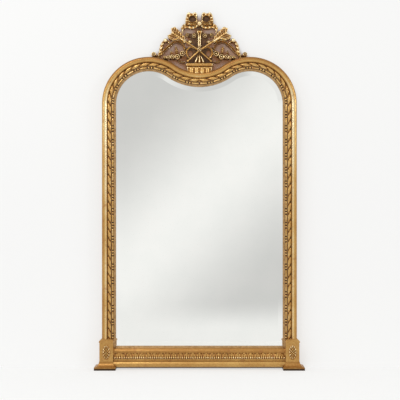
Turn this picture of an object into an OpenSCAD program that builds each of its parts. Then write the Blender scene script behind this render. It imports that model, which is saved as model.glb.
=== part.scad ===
// Gilt overmantel mirror: a bevelled glass in a moulded frame with two round shoulders and a dipped head,
// a carved and pierced crest over the dip, and two plinth blocks on stepped foot bases.
// Millimetres. X to the right, Y towards the wall, Z up. The origin is on the shelf, under the middle.
// Depths are counted forwards from the frame's flat back face, heights from the shelf.

/* [Opening] */
// Width of the glass that shows between the stiles
opening_w = 840; // [780:10:900]
// Radius of the glass edge round each shoulder
shoulder_r = 166; // [156:1:176]
// Height of the shoulders' centres above the shelf
shoulder_z = 1327.5; // [1100:0.5:1500]
// Height of the dip's lowest point above the shoulders' centres
dip_rise = 86.5; // [80:0.5:95]

/* [Frame section] */
// Width of the sight lip next to the glass
lip_w = 8; // [6:0.5:10]
// Width of the band that carries the bead-and-bar moulding
bead_band_w = 12.5; // [12:0.5:16]
// Width of the band that carries the twisted ribbon
ribbon_band_w = 21; // [20:0.5:26]
// Width of the band that carries the outer torus
torus_band_w = 26; // [25:0.5:32]
// Thickness of the frame's timber, from its back to the face under the mouldings
timber_d = 30; // [28:1:36]
// Depth of the rebate that holds the glass
rebate_d = 18; // [17:0.5:20]
// Width of the rebate
rebate_w = 12; // [11:0.5:14]
// Depth of the lip's step beside the glass
lip_step = 5; // [3:0.5:7]
// Diameter of the outer torus
torus_dia = 25; // [20:0.5:25]
// Height of the outer torus above the timber's face
torus_h = 21.5; // [16:0.5:22]
// Diameter of the twisted ribbon moulding
ribbon_dia = 18; // [14:0.5:19]
// Height of the ribbon moulding above the timber's face
ribbon_h = 14; // [11:0.5:15]
// Diameter of each bead
bead_dia = 10.4; // [8:0.2:11]
// Height of the beads above the timber's face
bead_h = 7.6; // [6:0.2:8]
// Open joint between the lengths of moulding over the head
joint_open = 0.2; // [0.1:0.05:0.5]
// Pitch of the bead pattern, which is two beads and one bar
bead_pitch = 68.5; // [60:0.5:80]
// Distance between the two beads of a pattern
bead_step = 13.7; // [12:0.1:15]
// Diameter of the bars between the beads
bar_dia = 8.8; // [7:0.2:9]
// Length of each bar
bar_l = 37; // [30:0.5:40]

/* [Bottom rail] */
// Gap between the shelf and the rail's underside
rail_clear = 6; // [3:0.5:10]
// Height of the fillet under the lower torus
rail_fillet_h = 4; // [3:0.5:8]
// Height of the lower torus
lower_torus_h = 32; // [28:1:38]
// Height of the hollow between the lower torus and the leaf band
hollow_h = 8; // [6:0.5:10]
// Height of the leaf band
leaf_band_h = 32; // [28:1:36]
// Height of the ovolo over the leaf band
ovolo_h = 23; // [20:1:26]
// Height of the plain lip at the top of the rail
rail_lip_h = 6; // [5:0.5:8]
// Depth of the lower torus in front of the timber
lower_torus_d = 32; // [24:1:34]
// Depth of the leaf band at its lower edge in front of the timber
leaf_band_d = 24; // [20:1:26]
// Depth of the ovolo in front of the timber
ovolo_d = 17; // [12:0.5:19]
// Pitch of the leaves along the leaf band
leaf_pitch = 32; // [28:0.5:40]
// Depth of the leaf band's flutes
leaf_cut = 2.4; // [1:0.2:3]

/* [Plinth blocks and feet] */
// Width of each plinth block, from its inner face to its outer face
block_w = 68; // [64:1:74]
// Distance that a plinth block stands out past the stile's outer side
block_side = 10; // [6:1:14]
// Height of each plinth block without its cap
block_h = 95; // [90:1:110]
// Depth of the plinth block's face from the frame's back
block_d = 68; // [66:1:80]
// Height of the plinth cap
cap_h = 15; // [12:0.5:20]
// Distance that the cap stands out past the block
cap_over = 2.5; // [1.5:0.5:4]
// Width of the chamfer round the top of the cap
cap_chamfer = 10; // [6:0.5:10]
// Height of each foot base
foot_h = 40; // [36:1:50]
// Distance that the foot base stands out past the block at the front and the outer side
foot_flare = 25; // [20:1:30]
// Distance that the foot base stands out past the block on the inner side
foot_inner = 14; // [8:1:18]
// Height of the fillet band at the bottom of the foot base
foot_band_h = 14; // [10:1:18]
// Width of the oval patera
patera_w = 42; // [36:1:50]
// Height of the oval patera
patera_h = 77; // [66:1:84]
// Height of the patera above the block's face
patera_d = 8; // [5:0.5:10]

/* [Glass] */
// Thickness of the glass inside its bevel
glass_t = 6; // [5:0.5:8]
// Thickness left at the edge of the bevel
glass_edge_t = 3.5; // [2.5:0.1:4]
// Width of the bevel
bevel_w = 25; // [15:1:32]
// Cover of the frame's lip over the edge of the glass
glass_cover = 8; // [6:0.5:9]
// Thickness of the backing board
board_t = 6; // [4:0.5:7]

/* [Crest] */
// Height of the crest above the tops of the shoulders
crest_rise = 226.5; // [200:0.5:240]
// Thickness of the crest's pierced ground
ground_t = 16; // [12:1:20]
// Thickness of the carved scrolls and leaves on the ground
scroll_t = 14; // [10:1:16]
// Thickness of the ribbon bow
bow_t = 18; // [12:1:22]
// Thickness of each arrow
arrow_t = 6; // [5:0.5:8]
// Thickness of the garlands' stems and leaves
garland_t = 7; // [5:0.5:10]
// Depth of the basket's rim in front of the ground
rim_d = 36; // [28:1:40]
// Depth of the basket's body in front of the ground
basket_d = 32; // [24:1:36]

/* [Fittings] */
// Height of the hangers' ring axes above the shelf
hanger_z = 1180; // [1000:10:1250]
// Diameter of the D-rings' wire
wire_dia = 3.5; // [3:0.1:4]
// Width of a D-ring between its wire centres
ring_w = 30; // [26:1:36]
// Width of the hanger strap
strap_w = 16; // [12:1:18]
// Length of the hanger strap below the ring's axis
strap_l = 56; // [50:1:70]
// Thickness of the hanger strap
strap_t = 2; // [1.5:0.1:3]
// Radial clearance of the D-ring's bar in its knuckle
ring_fit = 0.08; // [0.03:0.01:0.1]
// Gap between the hanging ring and its strap
ring_gap = 0.3; // [0.2:0.1:1]
// Length of the mending plates
plate_l = 80; // [70:2:100]
// Width of the mending plates
plate_w = 18; // [14:1:22]
// Thickness of the mending plates
plate_t = 2.5; // [2:0.1:3]
// Diameter of the screws
screw_dia = 4; // [3:0.1:5]
// Length of the screws' shanks in the timber
screw_l = 14; // [8:1:16]
// Diameter of the wall bumpers
bumper_dia = 24; // [16:1:30]
// Thickness of the wall bumpers
bumper_t = 9; // [8:0.5:14]

/* [Hidden] */

LEFT = -1;
RIGHT = 1;
FINE = 64;
far = 2000;

gilt = "goldenrod";
gilt_dark = "darkgoldenrod";
timber = "sienna";
steel = "slategray";

// Frame section, counted outwards from the glass edge
bead_u = lip_w + bead_band_w / 2;
ribbon_u = lip_w + bead_band_w + ribbon_band_w / 2;
face_w = lip_w + bead_band_w + ribbon_band_w + torus_band_w;
torus_u = face_w - torus_dia / 2;

// Bottom rail, heights from the shelf
lower_torus_z = rail_clear + rail_fillet_h;
hollow_z = lower_torus_z + lower_torus_h;
leaf_band_z = hollow_z + hollow_h;
ovolo_z = leaf_band_z + leaf_band_h;
rail_lip_z = ovolo_z + ovolo_h;
rail_top_z = rail_lip_z + rail_lip_h;

// Plinth blocks and feet
half_w = opening_w / 2;
stile_out = half_w + face_w;
block_out = stile_out + block_side;
block_in = block_out - block_w;
block_top = foot_h + block_h;
cap_top = block_top + cap_h;
foot_front = block_d + foot_flare;
foot_out = block_out + foot_flare;
foot_in = block_in - foot_inner;

// The whole part lies evenly in front of and behind the origin
back_y = (foot_front - bumper_t) / 2;

// Head: each shoulder's arc meets the dip's arc in a smooth turn
shoulder_x = half_w - shoulder_r;
dip_r = (pow(shoulder_x, 2) + pow(dip_rise, 2) - pow(shoulder_r, 2)) / (2 * (shoulder_r - dip_rise));
dip_centre_z = shoulder_z + dip_rise + dip_r;
turn = atan2(shoulder_x, dip_centre_z - shoulder_z);
shoulder_sweep = 90 + turn;
head_top_z = shoulder_z + dip_rise + face_w;

// Glass
glass_back = rebate_d - glass_edge_t;
board_back = glass_back - board_t;

// Crest, depths of its layers
scroll_face = ground_t + scroll_t;
bow_face = ground_t + bow_t;
arrow_face = scroll_face + 2 * arrow_t;

// The crest is drawn for shoulders this far out and this high above the dip, and for this rise above them.
// It follows these sizes when they change: crest_wide across, crest_tall below the shoulders' tops and
// crest_high above them.
drawn_shoulder_x = 254;
drawn_shoulder_rise = 79.5;
drawn_crest_rise = 226.5;
crest_wide = shoulder_x / drawn_shoulder_x;
crest_tall = (shoulder_r - dip_rise) / drawn_shoulder_rise;
crest_high = crest_rise / drawn_crest_rise;
function fitted_z(z) =
    min(z, drawn_shoulder_rise) * crest_tall + max(z - drawn_shoulder_rise, 0) * crest_high;
function fitted(points) = [for (p = points) [p[0] * crest_wide, fitted_z(p[1]), p[2] * crest_high]];
function fitted_flat(points) = [for (p = points) [p[0] * crest_wide, fitted_z(p[1])]];
function fitted_box(b) = [b[0] * crest_wide, fitted_z(b[1]), b[2] * crest_wide, b[3] * crest_tall];
crest_centre_z = fitted_z(112);

// Hangers
wire_r = wire_dia / 2;
knuckle_wall = 1.4;
knuckle_l = ring_w / 2 - wire_dia;
knuckle_r = wire_r + ring_fit + knuckle_wall;
ring_depth = -(strap_t + ring_gap + wire_r);
hanger_x = half_w + (rebate_w + face_w) / 2;
lower_bumper_z = 220;
upper_bumper_rise = 70;
screw_head_r = screw_dia * 0.9;
screw_head_h = screw_dia * 0.55;

// ---------- places and curves ----------

// Puts what is drawn for the right side on the given side
module on_side(side) {
    if (side == LEFT) mirror([1, 0, 0]) children();
    else children();
}

// Turns a flat shape drawn as x and height into a slab from one depth to another
module slab(depth, thick) {
    translate([0, back_y - depth, 0]) rotate([90, 0, 0]) linear_extrude(thick) children();
}

// Puts a solid that is drawn round the Z axis on the front at a place, pointing forwards
module facing(x, z, depth) {
    translate([x, back_y - depth, z]) rotate([90, 0, 0]) children();
}

// Runs a section, drawn as distance outwards and depth, up the right stile
module run_stile(z0, z1) {
    translate([half_w, back_y, z0]) mirror([0, 1, 0]) linear_extrude(z1 - z0) children();
}

// Runs the section round the right shoulder
module run_shoulder() {
    translate([shoulder_x, back_y, shoulder_z]) rotate([90, 0, 0])
        rotate_extrude(angle = shoulder_sweep, $fn = 2 * FINE) translate([shoulder_r, 0]) children();
}

// Runs the section along the dip, stopping short of each end by a share of the turn
module run_dip(short = 0) {
    translate([0, back_y, dip_centre_z]) rotate([90, 0, 0])
        rotate_extrude(angle = 2 * (turn - short), start = 270 - turn + short, $fn = 2 * FINE)
            translate([dip_r, 0]) mirror([1, 0]) children();
}

// Runs a moulding over the head in three lengths, with an open joint at each end of the dip
module run_head() {
    run_dip(joint_open / dip_r * 180 / PI) children();
    for (side = [LEFT, RIGHT]) on_side(side) run_shoulder() children();
}

// Points of an arc from one angle to another
function arc(cx, cz, r, a0, a1, steps = 16) =
    [for (i = [0 : steps]) let (a = a0 + (a1 - a0) * i / steps) [cx + r * cos(a), cz + r * sin(a)]];

// Outline of the opening, moved outwards by grow
function opening_outline(grow) = concat(
    [[half_w + grow, rail_top_z - grow]],
    arc(shoulder_x, shoulder_z, shoulder_r + grow, 0, shoulder_sweep, 30),
    [for (p = arc(0, dip_centre_z, dip_r - grow, 270 + turn, 270 - turn, 24))
        if (abs(p[0]) < tangent_x(grow)) p],
    arc(-shoulder_x, shoulder_z, shoulder_r + grow, 180 - shoulder_sweep, 180, 30),
    [[-half_w - grow, rail_top_z - grow]]);
function tangent_x(grow) = shoulder_x + (shoulder_r + grow) * cos(shoulder_sweep) - 0.01;

// Smooth curve through control points of any width, by a cubic between each pair
function pick(p, i) = p[max(0, min(len(p) - 1, i))];
function between(a, b, c, d, t) =
    0.5 * ((2 * b) + (c - a) * t + (2 * a - 5 * b + 4 * c - d) * t * t + (3 * b - a - 3 * c + d) * t * t * t);
function smooth(p, steps = 5) = concat(
    [for (i = [0 : len(p) - 2]) for (k = [0 : steps - 1])
        between(pick(p, i - 1), p[i], p[i + 1], pick(p, i + 2), k / steps)],
    [p[len(p) - 1]]);
function smooth_loop(p, steps = 4) =
    [for (i = [0 : len(p) - 1]) for (k = [0 : steps - 1])
        between(p[(i + len(p) - 1) % len(p)], p[i], p[(i + 1) % len(p)], p[(i + 2) % len(p)], k / steps)];
function unit(v) = v / norm(v);
function heading(c, i) = unit([pick(c, i + 1)[0] - pick(c, i - 1)[0], pick(c, i + 1)[1] - pick(c, i - 1)[1]]);
function edge(c, s) = [for (i = [0 : len(c) - 1]) let (h = heading(c, i))
    [c[i][0] - s * h[1] * c[i][2] / 2, c[i][1] + s * h[0] * c[i][2] / 2]];
function flipped(p) = [for (i = [len(p) - 1 : -1 : 0]) p[i]];

// Strap along a curve: each control point is x, height and width there
module strap(p) {
    c = smooth(p);
    polygon(concat(edge(c, 1), flipped(edge(c, -1))));
}

module ellipse(a, b) {
    polygon([for (t = [0 : 10 : 350]) [a * cos(t), b * sin(t)]]);
}

// Round boss with a domed face, flat underneath
module dome(r, h) {
    rise = (r * r + h * h) / (2 * h);
    rotate_extrude($fn = FINE) intersection() {
        translate([0, h - rise]) circle(rise, $fn = 2 * FINE);
        square([r, h]);
    }
}

// ---------- frame sections ----------

module timber_section() {
    polygon([
        [0, rebate_d], [0, timber_d - lip_step], [1.5, timber_d - lip_step], [lip_w, timber_d],
        [face_w, timber_d], [face_w, 0], [rebate_w, 0], [rebate_w, rebate_d]
    ]);
}

// Round moulding section, cut flat at a foot above the timber
module round_section(u, dia, h, foot = 0) {
    translate([u, timber_d]) intersection() {
        translate([0, h - dia / 2]) circle(d = dia, $fn = FINE);
        translate([-dia / 2, foot]) square([dia, h - foot]);
    }
}

module torus_section() {
    round_section(torus_u, torus_dia, torus_h);
}

module ribbon_section() {
    round_section(ribbon_u, ribbon_dia, ribbon_h);
}

// The strip under the beads, wide enough to carry the widest of them
bead_strip_h = 1.6;
bead_strip_w = bead_dia + 0.8;
bar_h = bead_h - 0.8;
module bead_strip_section() {
    translate([bead_u - bead_strip_w / 2, timber_d]) square([bead_strip_w, bead_strip_h]);
}

module bar_section() {
    round_section(bead_u, bar_dia, bar_h, bead_strip_h / 2);
}

// One bead, flat underneath, let into the strip
module bead() {
    rotate_extrude($fn = FINE) intersection() {
        translate([0, bead_h - bead_dia / 2]) circle(d = bead_dia, $fn = FINE);
        translate([0, bead_strip_h / 2]) square([bead_dia, bead_h]);
    }
}

// ---------- frame timber ----------

module feet_and_blocks() {
    for (side = [LEFT, RIGHT]) {
        block_body(side);
        foot_body(side);
    }
}

module stile(side) {
    color(timber) difference() {
        on_side(side) run_stile(foot_h, shoulder_z) timber_section();
        screw_holes();
    }
}

module shoulder(side) {
    color(timber) difference() {
        on_side(side) run_shoulder() timber_section();
        screw_holes();
    }
}

module head_dip() {
    color(timber) difference() {
        run_dip() timber_section();
        screw_holes();
    }
}

module bottom_rail() {
    color(timber) difference() {
        translate([-half_w, back_y, 0]) rotate([90, 0, 90]) linear_extrude(opening_w) polygon([
            [0, rail_clear], [0, rail_top_z - rebate_w], [-rebate_d, rail_top_z - rebate_w],
            [-rebate_d, rail_top_z], [-timber_d + lip_step, rail_top_z], [-timber_d, rail_lip_z],
            [-timber_d, rail_clear]
        ]);
        feet_and_blocks();
        screw_holes();
    }
}

// ---------- mouldings along the frame ----------

module torus_run(side) {
    color(gilt) on_side(side) run_stile(cap_top, shoulder_z) torus_section();
}

module torus_head() {
    color(gilt) run_head() torus_section();
}

module ribbon_run(side) {
    color(gilt_dark) on_side(side) run_stile(cap_top, shoulder_z) ribbon_section();
}

module ribbon_head() {
    color(gilt_dark) run_head() ribbon_section();
}

// Bead pattern along a straight run: two beads, then a bar
stile_run = shoulder_z - cap_top;
stile_count = round(stile_run / bead_pitch);
bar_start = 2 * bead_step;
module bead_run(side) {
    pitch = stile_run / stile_count;
    bar = bar_l * pitch / bead_pitch;
    color(gilt) on_side(side) {
        run_stile(cap_top, shoulder_z) bead_strip_section();
        for (i = [0 : stile_count - 1]) {
            z = cap_top + i * pitch;
            for (k = [0, 1]) facing(half_w + bead_u, z + (k + 0.5) * bead_step, timber_d) bead();
            run_stile(z + (pitch + bar_start - bar) / 2, z + (pitch + bar_start + bar) / 2) bar_section();
        }
    }
}

// Bead pattern along an arc of the head
module bead_arc(r, a0, sweep, mirrored) {
    length = r * sweep * PI / 180;
    count = round(length / bead_pitch);
    degree = sweep / length;
    pitch = length / count;
    bar = bar_l * pitch / bead_pitch;
    for (i = [0 : count - 1]) {
        s = i * pitch;
        for (k = [0, 1]) {
            a = a0 + (s + (k + 0.5) * bead_step) * degree;
            translate([r * cos(a), r * sin(a), timber_d]) bead();
        }
        rotate([0, 0, a0 + (s + (pitch + bar_start - bar) / 2) * degree])
            rotate_extrude(angle = bar * degree, $fn = 2 * FINE)
                translate([r - mirrored * bead_u, 0]) mirror([mirrored < 0 ? 1 : 0, 0]) bar_section();
    }
}

module bead_head() {
    color(gilt) {
        run_head() bead_strip_section();
        for (side = [LEFT, RIGHT]) on_side(side)
            translate([shoulder_x, back_y, shoulder_z]) rotate([90, 0, 0])
                bead_arc(shoulder_r + bead_u, 0, shoulder_sweep, 1);
        translate([0, back_y, dip_centre_z]) rotate([90, 0, 0])
            bead_arc(dip_r - bead_u, 270 - turn, 2 * turn, -1);
    }
}

// ---------- bottom rail dressings, cut to the plinth blocks and feet ----------

module rail_run() {
    difference() {
        translate([-block_in, back_y - timber_d, 0]) rotate([90, 0, 90]) linear_extrude(2 * block_in)
            mirror([1, 0]) children();
        feet_and_blocks();
    }
}

// Quarter round that swells downwards
module rail_ovolo() {
    color(gilt) rail_run() intersection() {
        translate([0, ovolo_z]) scale([ovolo_d / ovolo_h, 1]) circle(ovolo_h, $fn = FINE);
        translate([0, ovolo_z]) square([ovolo_d, ovolo_h]);
    }
}

// Sloping band with a flute between each pair of leaves: its nose is rounded below and its belly stands out
band_nose = 4;
band_nose_h = 5;
band_belly_h = 12;
flute_axis_out = 1.5;
module rail_leaf_band() {
    count = floor(2 * block_in / leaf_pitch);
    flute_y = back_y - timber_d - leaf_band_d - flute_axis_out;
    color(gilt_dark) difference() {
        rail_run() polygon([
            [0, leaf_band_z], [leaf_band_d - band_nose, leaf_band_z],
            [leaf_band_d, leaf_band_z + band_nose_h], [leaf_band_d - 1, leaf_band_z + band_belly_h],
            [ovolo_d, ovolo_z], [0, ovolo_z]
        ]);
        for (i = [0 : count])
            translate([(i - count / 2) * leaf_pitch, flute_y, leaf_band_z - 1])
                cylinder(r = leaf_cut + flute_axis_out, h = leaf_band_h * 0.7, $fn = 24);
    }
}

module rail_lower_torus() {
    color(gilt) rail_run() union() {
        translate([lower_torus_d - lower_torus_h / 2, lower_torus_z + lower_torus_h / 2])
            circle(d = lower_torus_h, $fn = FINE);
        translate([0, lower_torus_z]) square([lower_torus_d - lower_torus_h / 2, lower_torus_h]);
        translate([0, hollow_z]) square([lower_torus_d / 2 - 2, hollow_h]);
        translate([0, rail_clear]) square([lower_torus_d / 2, rail_fillet_h]);
    }
}

// ---------- plinth blocks, caps, pateras and feet ----------

// Plan of the block: in front of the stile, with a return along its outer side
module block_plan(over) {
    difference() {
        translate([block_in - over, 0]) square([block_w + 2 * over, block_d + over]);
        translate([0, -1]) square([stile_out, timber_d + 1]);
    }
}

module block_body(side) {
    on_side(side) translate([0, back_y, foot_h]) mirror([0, 1, 0]) linear_extrude(block_h) block_plan(0);
}

module plinth_block(side) {
    color(gilt) block_body(side);
}

// The cap's top is weathered off to the front and to both sides
module plinth_cap(side) {
    band_h = cap_h - cap_chamfer * 0.9;
    color(gilt) on_side(side) intersection() {
        translate([0, back_y, block_top]) mirror([0, 1, 0]) linear_extrude(cap_h) block_plan(cap_over);
        translate([0, back_y, block_top]) rotate([90, 0, 0]) linear_extrude(far, center = true) polygon([
            [block_in - cap_over, 0], [block_out + cap_over, 0], [block_out + cap_over, band_h],
            [block_out + cap_over - cap_chamfer, cap_h], [block_in - cap_over + cap_chamfer, cap_h],
            [block_in - cap_over, band_h]
        ]);
        translate([0, back_y, block_top]) rotate([90, 0, 90]) linear_extrude(far) polygon([
            [0, 0], [-block_d - cap_over, 0], [-block_d - cap_over, band_h],
            [-block_d - cap_over + cap_chamfer, cap_h], [0, cap_h]
        ]);
    }
}

// Oval flower: a plate with a rim, a ring of pearls and a boss
pearls = 14;
patera_plate_t = 2;
patera_rim_w = 3;
patera_rim_h = 3;
pearl_r = 3.4;
pearl_in = 8;
pearl_down = 12;
module patera(side) {
    half_wide = patera_w / 2;
    half_high = patera_h / 2;
    face = block_d + patera_plate_t;
    color(gilt) on_side(side) translate([(block_in + block_out) / 2, 0, foot_h + block_h / 2]) {
        slab(block_d, patera_plate_t) ellipse(half_wide, half_high);
        slab(face, patera_rim_h) difference() {
            ellipse(half_wide, half_high);
            ellipse(half_wide - patera_rim_w, half_high - patera_rim_w);
        }
        facing(0, 0, face) dome(patera_w * 0.19, patera_d - patera_plate_t);
        for (i = [0 : pearls - 1]) {
            a = 360 * i / pearls;
            facing(cos(a) * (half_wide - pearl_in), sin(a) * (half_high - pearl_down), face)
                dome(pearl_r, patera_rim_h);
        }
    }
}

// Profile of the foot, drawn outwards from the block's face: a band at the shelf, then a hollow that starts
// a little behind the band's edge and leaves a thin flat over the band
hollow_back = 3;
hollow_flat = 2;
module foot_profile(flare, body) {
    step = foot_h - foot_band_h;
    reach = flare - hollow_back;
    union() {
        translate([-body, 0]) square([body, foot_h]);
        square([flare, foot_band_h]);
        difference() {
            translate([0, foot_band_h]) square([reach, step]);
            translate([reach, foot_h]) scale([reach / step, 1]) circle(step - hollow_flat, $fn = FINE);
        }
    }
}

// The foot seen from the front, where its outer and inner sides flare by their own distances
module foot_front_shape() {
    half = block_w / 2;
    translate([half, 0]) foot_profile(foot_flare, half);
    mirror([1, 0]) translate([half, 0]) foot_profile(foot_inner, half);
}

module foot_body(side) {
    on_side(side) intersection() {
        translate([(block_in + block_out) / 2, back_y, 0]) rotate([90, 0, 0])
            linear_extrude(foot_front) foot_front_shape();
        translate([block_in - foot_inner, back_y - block_d, 0]) rotate([90, 0, 90])
            linear_extrude(block_w + foot_inner + foot_flare) mirror([1, 0])
                foot_profile(foot_flare, block_d);
    }
}

module foot_base(side) {
    color(gilt) foot_body(side);
}

// ---------- glass and its backing ----------

// One ring of the glass: the opening's outline moved by grow, at a depth
function glass_ring(grow, depth) = [for (p = opening_outline(grow)) [p[0], back_y - depth, p[1]]];

module mirror_glass() {
    n = len(opening_outline(0));
    rings = [
        glass_ring(glass_cover, glass_back), glass_ring(glass_cover, rebate_d),
        glass_ring(0, rebate_d), glass_ring(-bevel_w, glass_back + glass_t)
    ];
    last = len(rings) - 1;
    color("lightblue") polyhedron(
        points = [for (ring = rings) for (p = ring) p],
        faces = concat(
            [[for (i = [0 : n - 1]) i]],
            [for (k = [0 : last - 1]) for (i = [0 : n - 1])
                [k * n + i, (k + 1) * n + i, (k + 1) * n + (i + 1) % n, k * n + (i + 1) % n]],
            [[for (i = [n - 1 : -1 : 0]) last * n + i]]),
        convexity = 6);
}

module backing_board() {
    color("burlywood") slab(board_back, board_t) polygon(opening_outline(glass_cover));
}

// Small blocks glued into the rebate behind the board
block_l = 50;
block_every = 220;
module glue_blocks() {
    color("peru") {
        for (side = [LEFT, RIGHT]) on_side(side)
            for (z = [rail_top_z + block_l : block_every : shoulder_z - block_l])
                translate([half_w, back_y - board_back, z]) cube([rebate_w, board_back, block_l]);
        for (x = [-half_w + block_every / 2 : block_every : half_w - block_every / 2])
            translate([x - block_l / 2, back_y - board_back, rail_top_z - rebate_w])
                cube([block_l, board_back, rebate_w]);
    }
}

// ---------- crest, drawn as x and height above the top of the head's dip ----------

bow_loop = fitted_flat([
    [9, 254], [11, 274], [10, 292], [20, 306], [32, 301], [42, 301], [52, 306], [64, 296], [69, 276], [70, 254],
    [58, 241], [36, 237], [16, 241]
]);
bow_hollow = fitted_flat([[18, 264], [20, 280], [32, 287], [46, 283], [53, 270], [44, 260], [30, 259]]);
bow_tail = fitted([
    [12, 238, 10], [25, 229, 12], [44, 228, 13], [64, 232, 12], [78, 227, 11], [85, 214, 8], [84, 204, 5]
]);
bow_fold = fitted([[56, 246, 12], [71, 243, 12], [83, 235, 10], [90, 223, 6]]);
stem = fitted_flat([[9, 129], [9, 193], [16, 206], [12, 215], [-12, 215], [-16, 206], [-9, 193], [-9, 129]]);
berries = fitted([[27, 188, 12], [62, 192, 11]]);
bud = fitted_flat([[34, 151], [46, 148], [60, 152], [61, 162], [48, 166], [35, 162]]);
flight = crest_high * [
    [80, -5], [90, -19], [106, -27], [130, -30], [160, -35], [177, -25], [166, -2], [182, 15], [170, 34],
    [146, 30], [118, 24], [96, 16], [80, 5]
];
arrow_lean = 33.4;
arrow_w = 8 * crest_high;
knot = fitted([[0, 247, 13]])[0];
boss = fitted([[0, 116, 11]])[0];
// Where the shaft bends and ends on the far side
arrow_bend = fitted_flat([[29, 86]])[0];
arrow_foot = fitted_flat([[58, 60]])[0];
scroll = fitted([
    [200, 89, 11], [189, 100, 14], [170, 120, 16], [149, 140, 16], [130, 154, 14], [112, 160, 14],
    [96, 157, 13], [84, 146, 12], [77, 133, 11], [73, 122, 9]
]);
outer_leaf = fitted([
    [153, 154, 8], [162, 162, 10], [172, 163, 13], [183, 152, 14], [190, 136, 16], [194, 118, 15],
    [199, 102, 12], [203, 90, 12], [205, 80, 10]
]);
leaf_knob = fitted([[170, 164, 11]])[0];
volute = fitted([[196, 88, 9], [210, 87, 9], [224, 90, 9]]);
volute_ball = fitted([[229, 95, 12]])[0];
// Step between each ball of the outer leaf and the disc that it stands on
ball_step = 1;
inner_scroll = fitted([
    [16, 121, 7], [28, 128, 9], [43, 131, 11], [57, 124, 11], [65, 110, 11], [64, 94, 10], [56, 80, 10],
    [44, 71, 8]
]);
garland = fitted([
    [181, 76, 7], [166, 76, 15], [146, 78, 20], [124, 79, 22], [104, 83, 22], [89, 94, 20], [81, 107, 10]
]);
garland_berries = fitted([[84, 96, 15], [111, 80, 14], [136, 80, 12], [156, 77, 11], [173, 79, 8]]);
garland_leaves = [
    fitted([[108, 90, 8], [114, 106, 13], [116, 122, 11], [121, 137, 3]]),
    fitted([[112, 70, 8], [98, 59, 12], [84, 54, 10], [73, 56, 5]]),
    fitted([[136, 88, 8], [142, 101, 11], [141, 114, 3]])
];
bell = fitted_flat([
    [0, 106], [6, 92], [13, 80], [24, 66], [26, 56], [26, 51], [-26, 51], [-26, 56], [-24, 66],
    [-13, 80], [-6, 92]
]);
middle_ground = fitted_flat([
    [-2, -20], [55, -20], [60, 31], [67, 31], [68, 56], [64, 76], [67, 101], [60, 124], [40, 130], [32, 148],
    [58, 151], [58, 163], [44, 168], [46, 180], [66, 184], [71, 192], [65, 201], [38, 199], [16, 206],
    [12, 228], [12, 250], [-2, 250]
]);
// Feet of the ground on the head, and its bridges: x, height, width and height of each
ground_seats = [
    for (seat = [[158, 48, 20, 30], [196, 60, 40, 26], [62, 98, 22, 14], [60, 118, 16, 12]]) fitted_box(seat)
];
ground_hole = fitted_box([46, 101, 12, 16]);
// Basket: heights of its foot, of the rim's underside and of the rim's top, and half widths there
basket_foot_z = fitted_z(-9);
rim_foot_z = fitted_z(31);
rim_top_z = fitted_z(50);
basket_foot_half = 57 * crest_wide;
basket_top_half = 66 * crest_wide;
rim_half = 70 * crest_wide;
stave_pitch = 27 * crest_wide;
stave_r = 11 * crest_wide;

// Draws a crest shape at its place on the head
module crest_slab(depth, thick) {
    translate([0, 0, head_top_z]) slab(depth, thick) children();
}

module crest_dome(p, depth, h) {
    facing(p[0], head_top_z + p[1], depth) dome(p[2], h);
}

// The feathered end of an arrow
module flight_shape() {
    translate([0, crest_centre_z]) rotate(arrow_lean) polygon(flight);
}

// The shaft, from its feathers past the centre down to its foot on the other side
module shaft_shape() {
    translate([0, crest_centre_z]) rotate(arrow_lean) translate([-arrow_w, -arrow_w / 2])
        square([flight[0][0] + 2 * arrow_w, arrow_w]);
    strap([
        [arrow_w / 2, crest_centre_z + 3, arrow_w], [-arrow_bend[0], arrow_bend[1], arrow_w],
        [-arrow_foot[0], arrow_foot[1], arrow_w - 1]
    ]);
}

// What the arrow's feathers and the garland lie across
module scroll_shapes() {
    strap(scroll);
    leaf_shape();
    strap(inner_scroll);
}

module bow_shape() {
    polygon(smooth_loop(bow_loop));
    strap(bow_tail);
    strap(bow_fold);
}

module garland_shape() {
    strap(garland);
    for (leaf = garland_leaves) strap(leaf);
    for (p = garland_berries) translate([p[0], p[1]]) circle(p[2] * 0.85, $fn = FINE);
}

module leaf_shape() {
    strap(outer_leaf);
    strap(volute);
    for (ball = [leaf_knob, volute_ball]) translate([ball[0], ball[1]]) circle(ball[2], $fn = FINE);
}

// What lies inside the head's outer edge, through the ground's whole thickness
module head_solid() {
    outer_r = shoulder_r + face_w;
    meet_x = -shoulder_x - outer_r * cos(shoulder_sweep);
    meet_z = shoulder_z + outer_r * sin(shoulder_sweep);
    for (side = [LEFT, RIGHT]) on_side(side)
        slab(-1, ground_t + 2) translate([shoulder_x, shoulder_z]) circle(outer_r, $fn = 2 * FINE);
    difference() {
        slab(-1, ground_t + 2) translate([meet_x, shoulder_z]) square([-2 * meet_x, meet_z - shoulder_z]);
        slab(-2, ground_t + 4) translate([0, dip_centre_z]) circle(dip_r - face_w, $fn = 2 * FINE);
    }
}

// The ground follows the carving in front of it and stands on the head's outer edge
module crest_ground() {
    color(gilt_dark) difference() {
        for (side = [LEFT, RIGHT]) on_side(side) {
            crest_slab(0, ground_t) polygon(middle_ground);
            crest_slab(0, ground_t) bow_shape();
            crest_slab(0, ground_t) strap(scroll);
            crest_slab(0, ground_t) leaf_shape();
            crest_slab(0, ground_t) strap(inner_scroll);
            crest_slab(0, ground_t) garland_shape();
            crest_slab(0, ground_t) flight_shape();
            for (seat = ground_seats) crest_slab(0, ground_t)
                translate([seat[0], seat[1]]) square([seat[2], seat[3]]);
        }
        for (side = [LEFT, RIGHT]) crest_slab(-1, ground_t + 2)
            translate([side * ground_hole[0], ground_hole[1]]) ellipse(ground_hole[2], ground_hole[3]);
        head_solid();
        screw_holes();
    }
}

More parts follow.
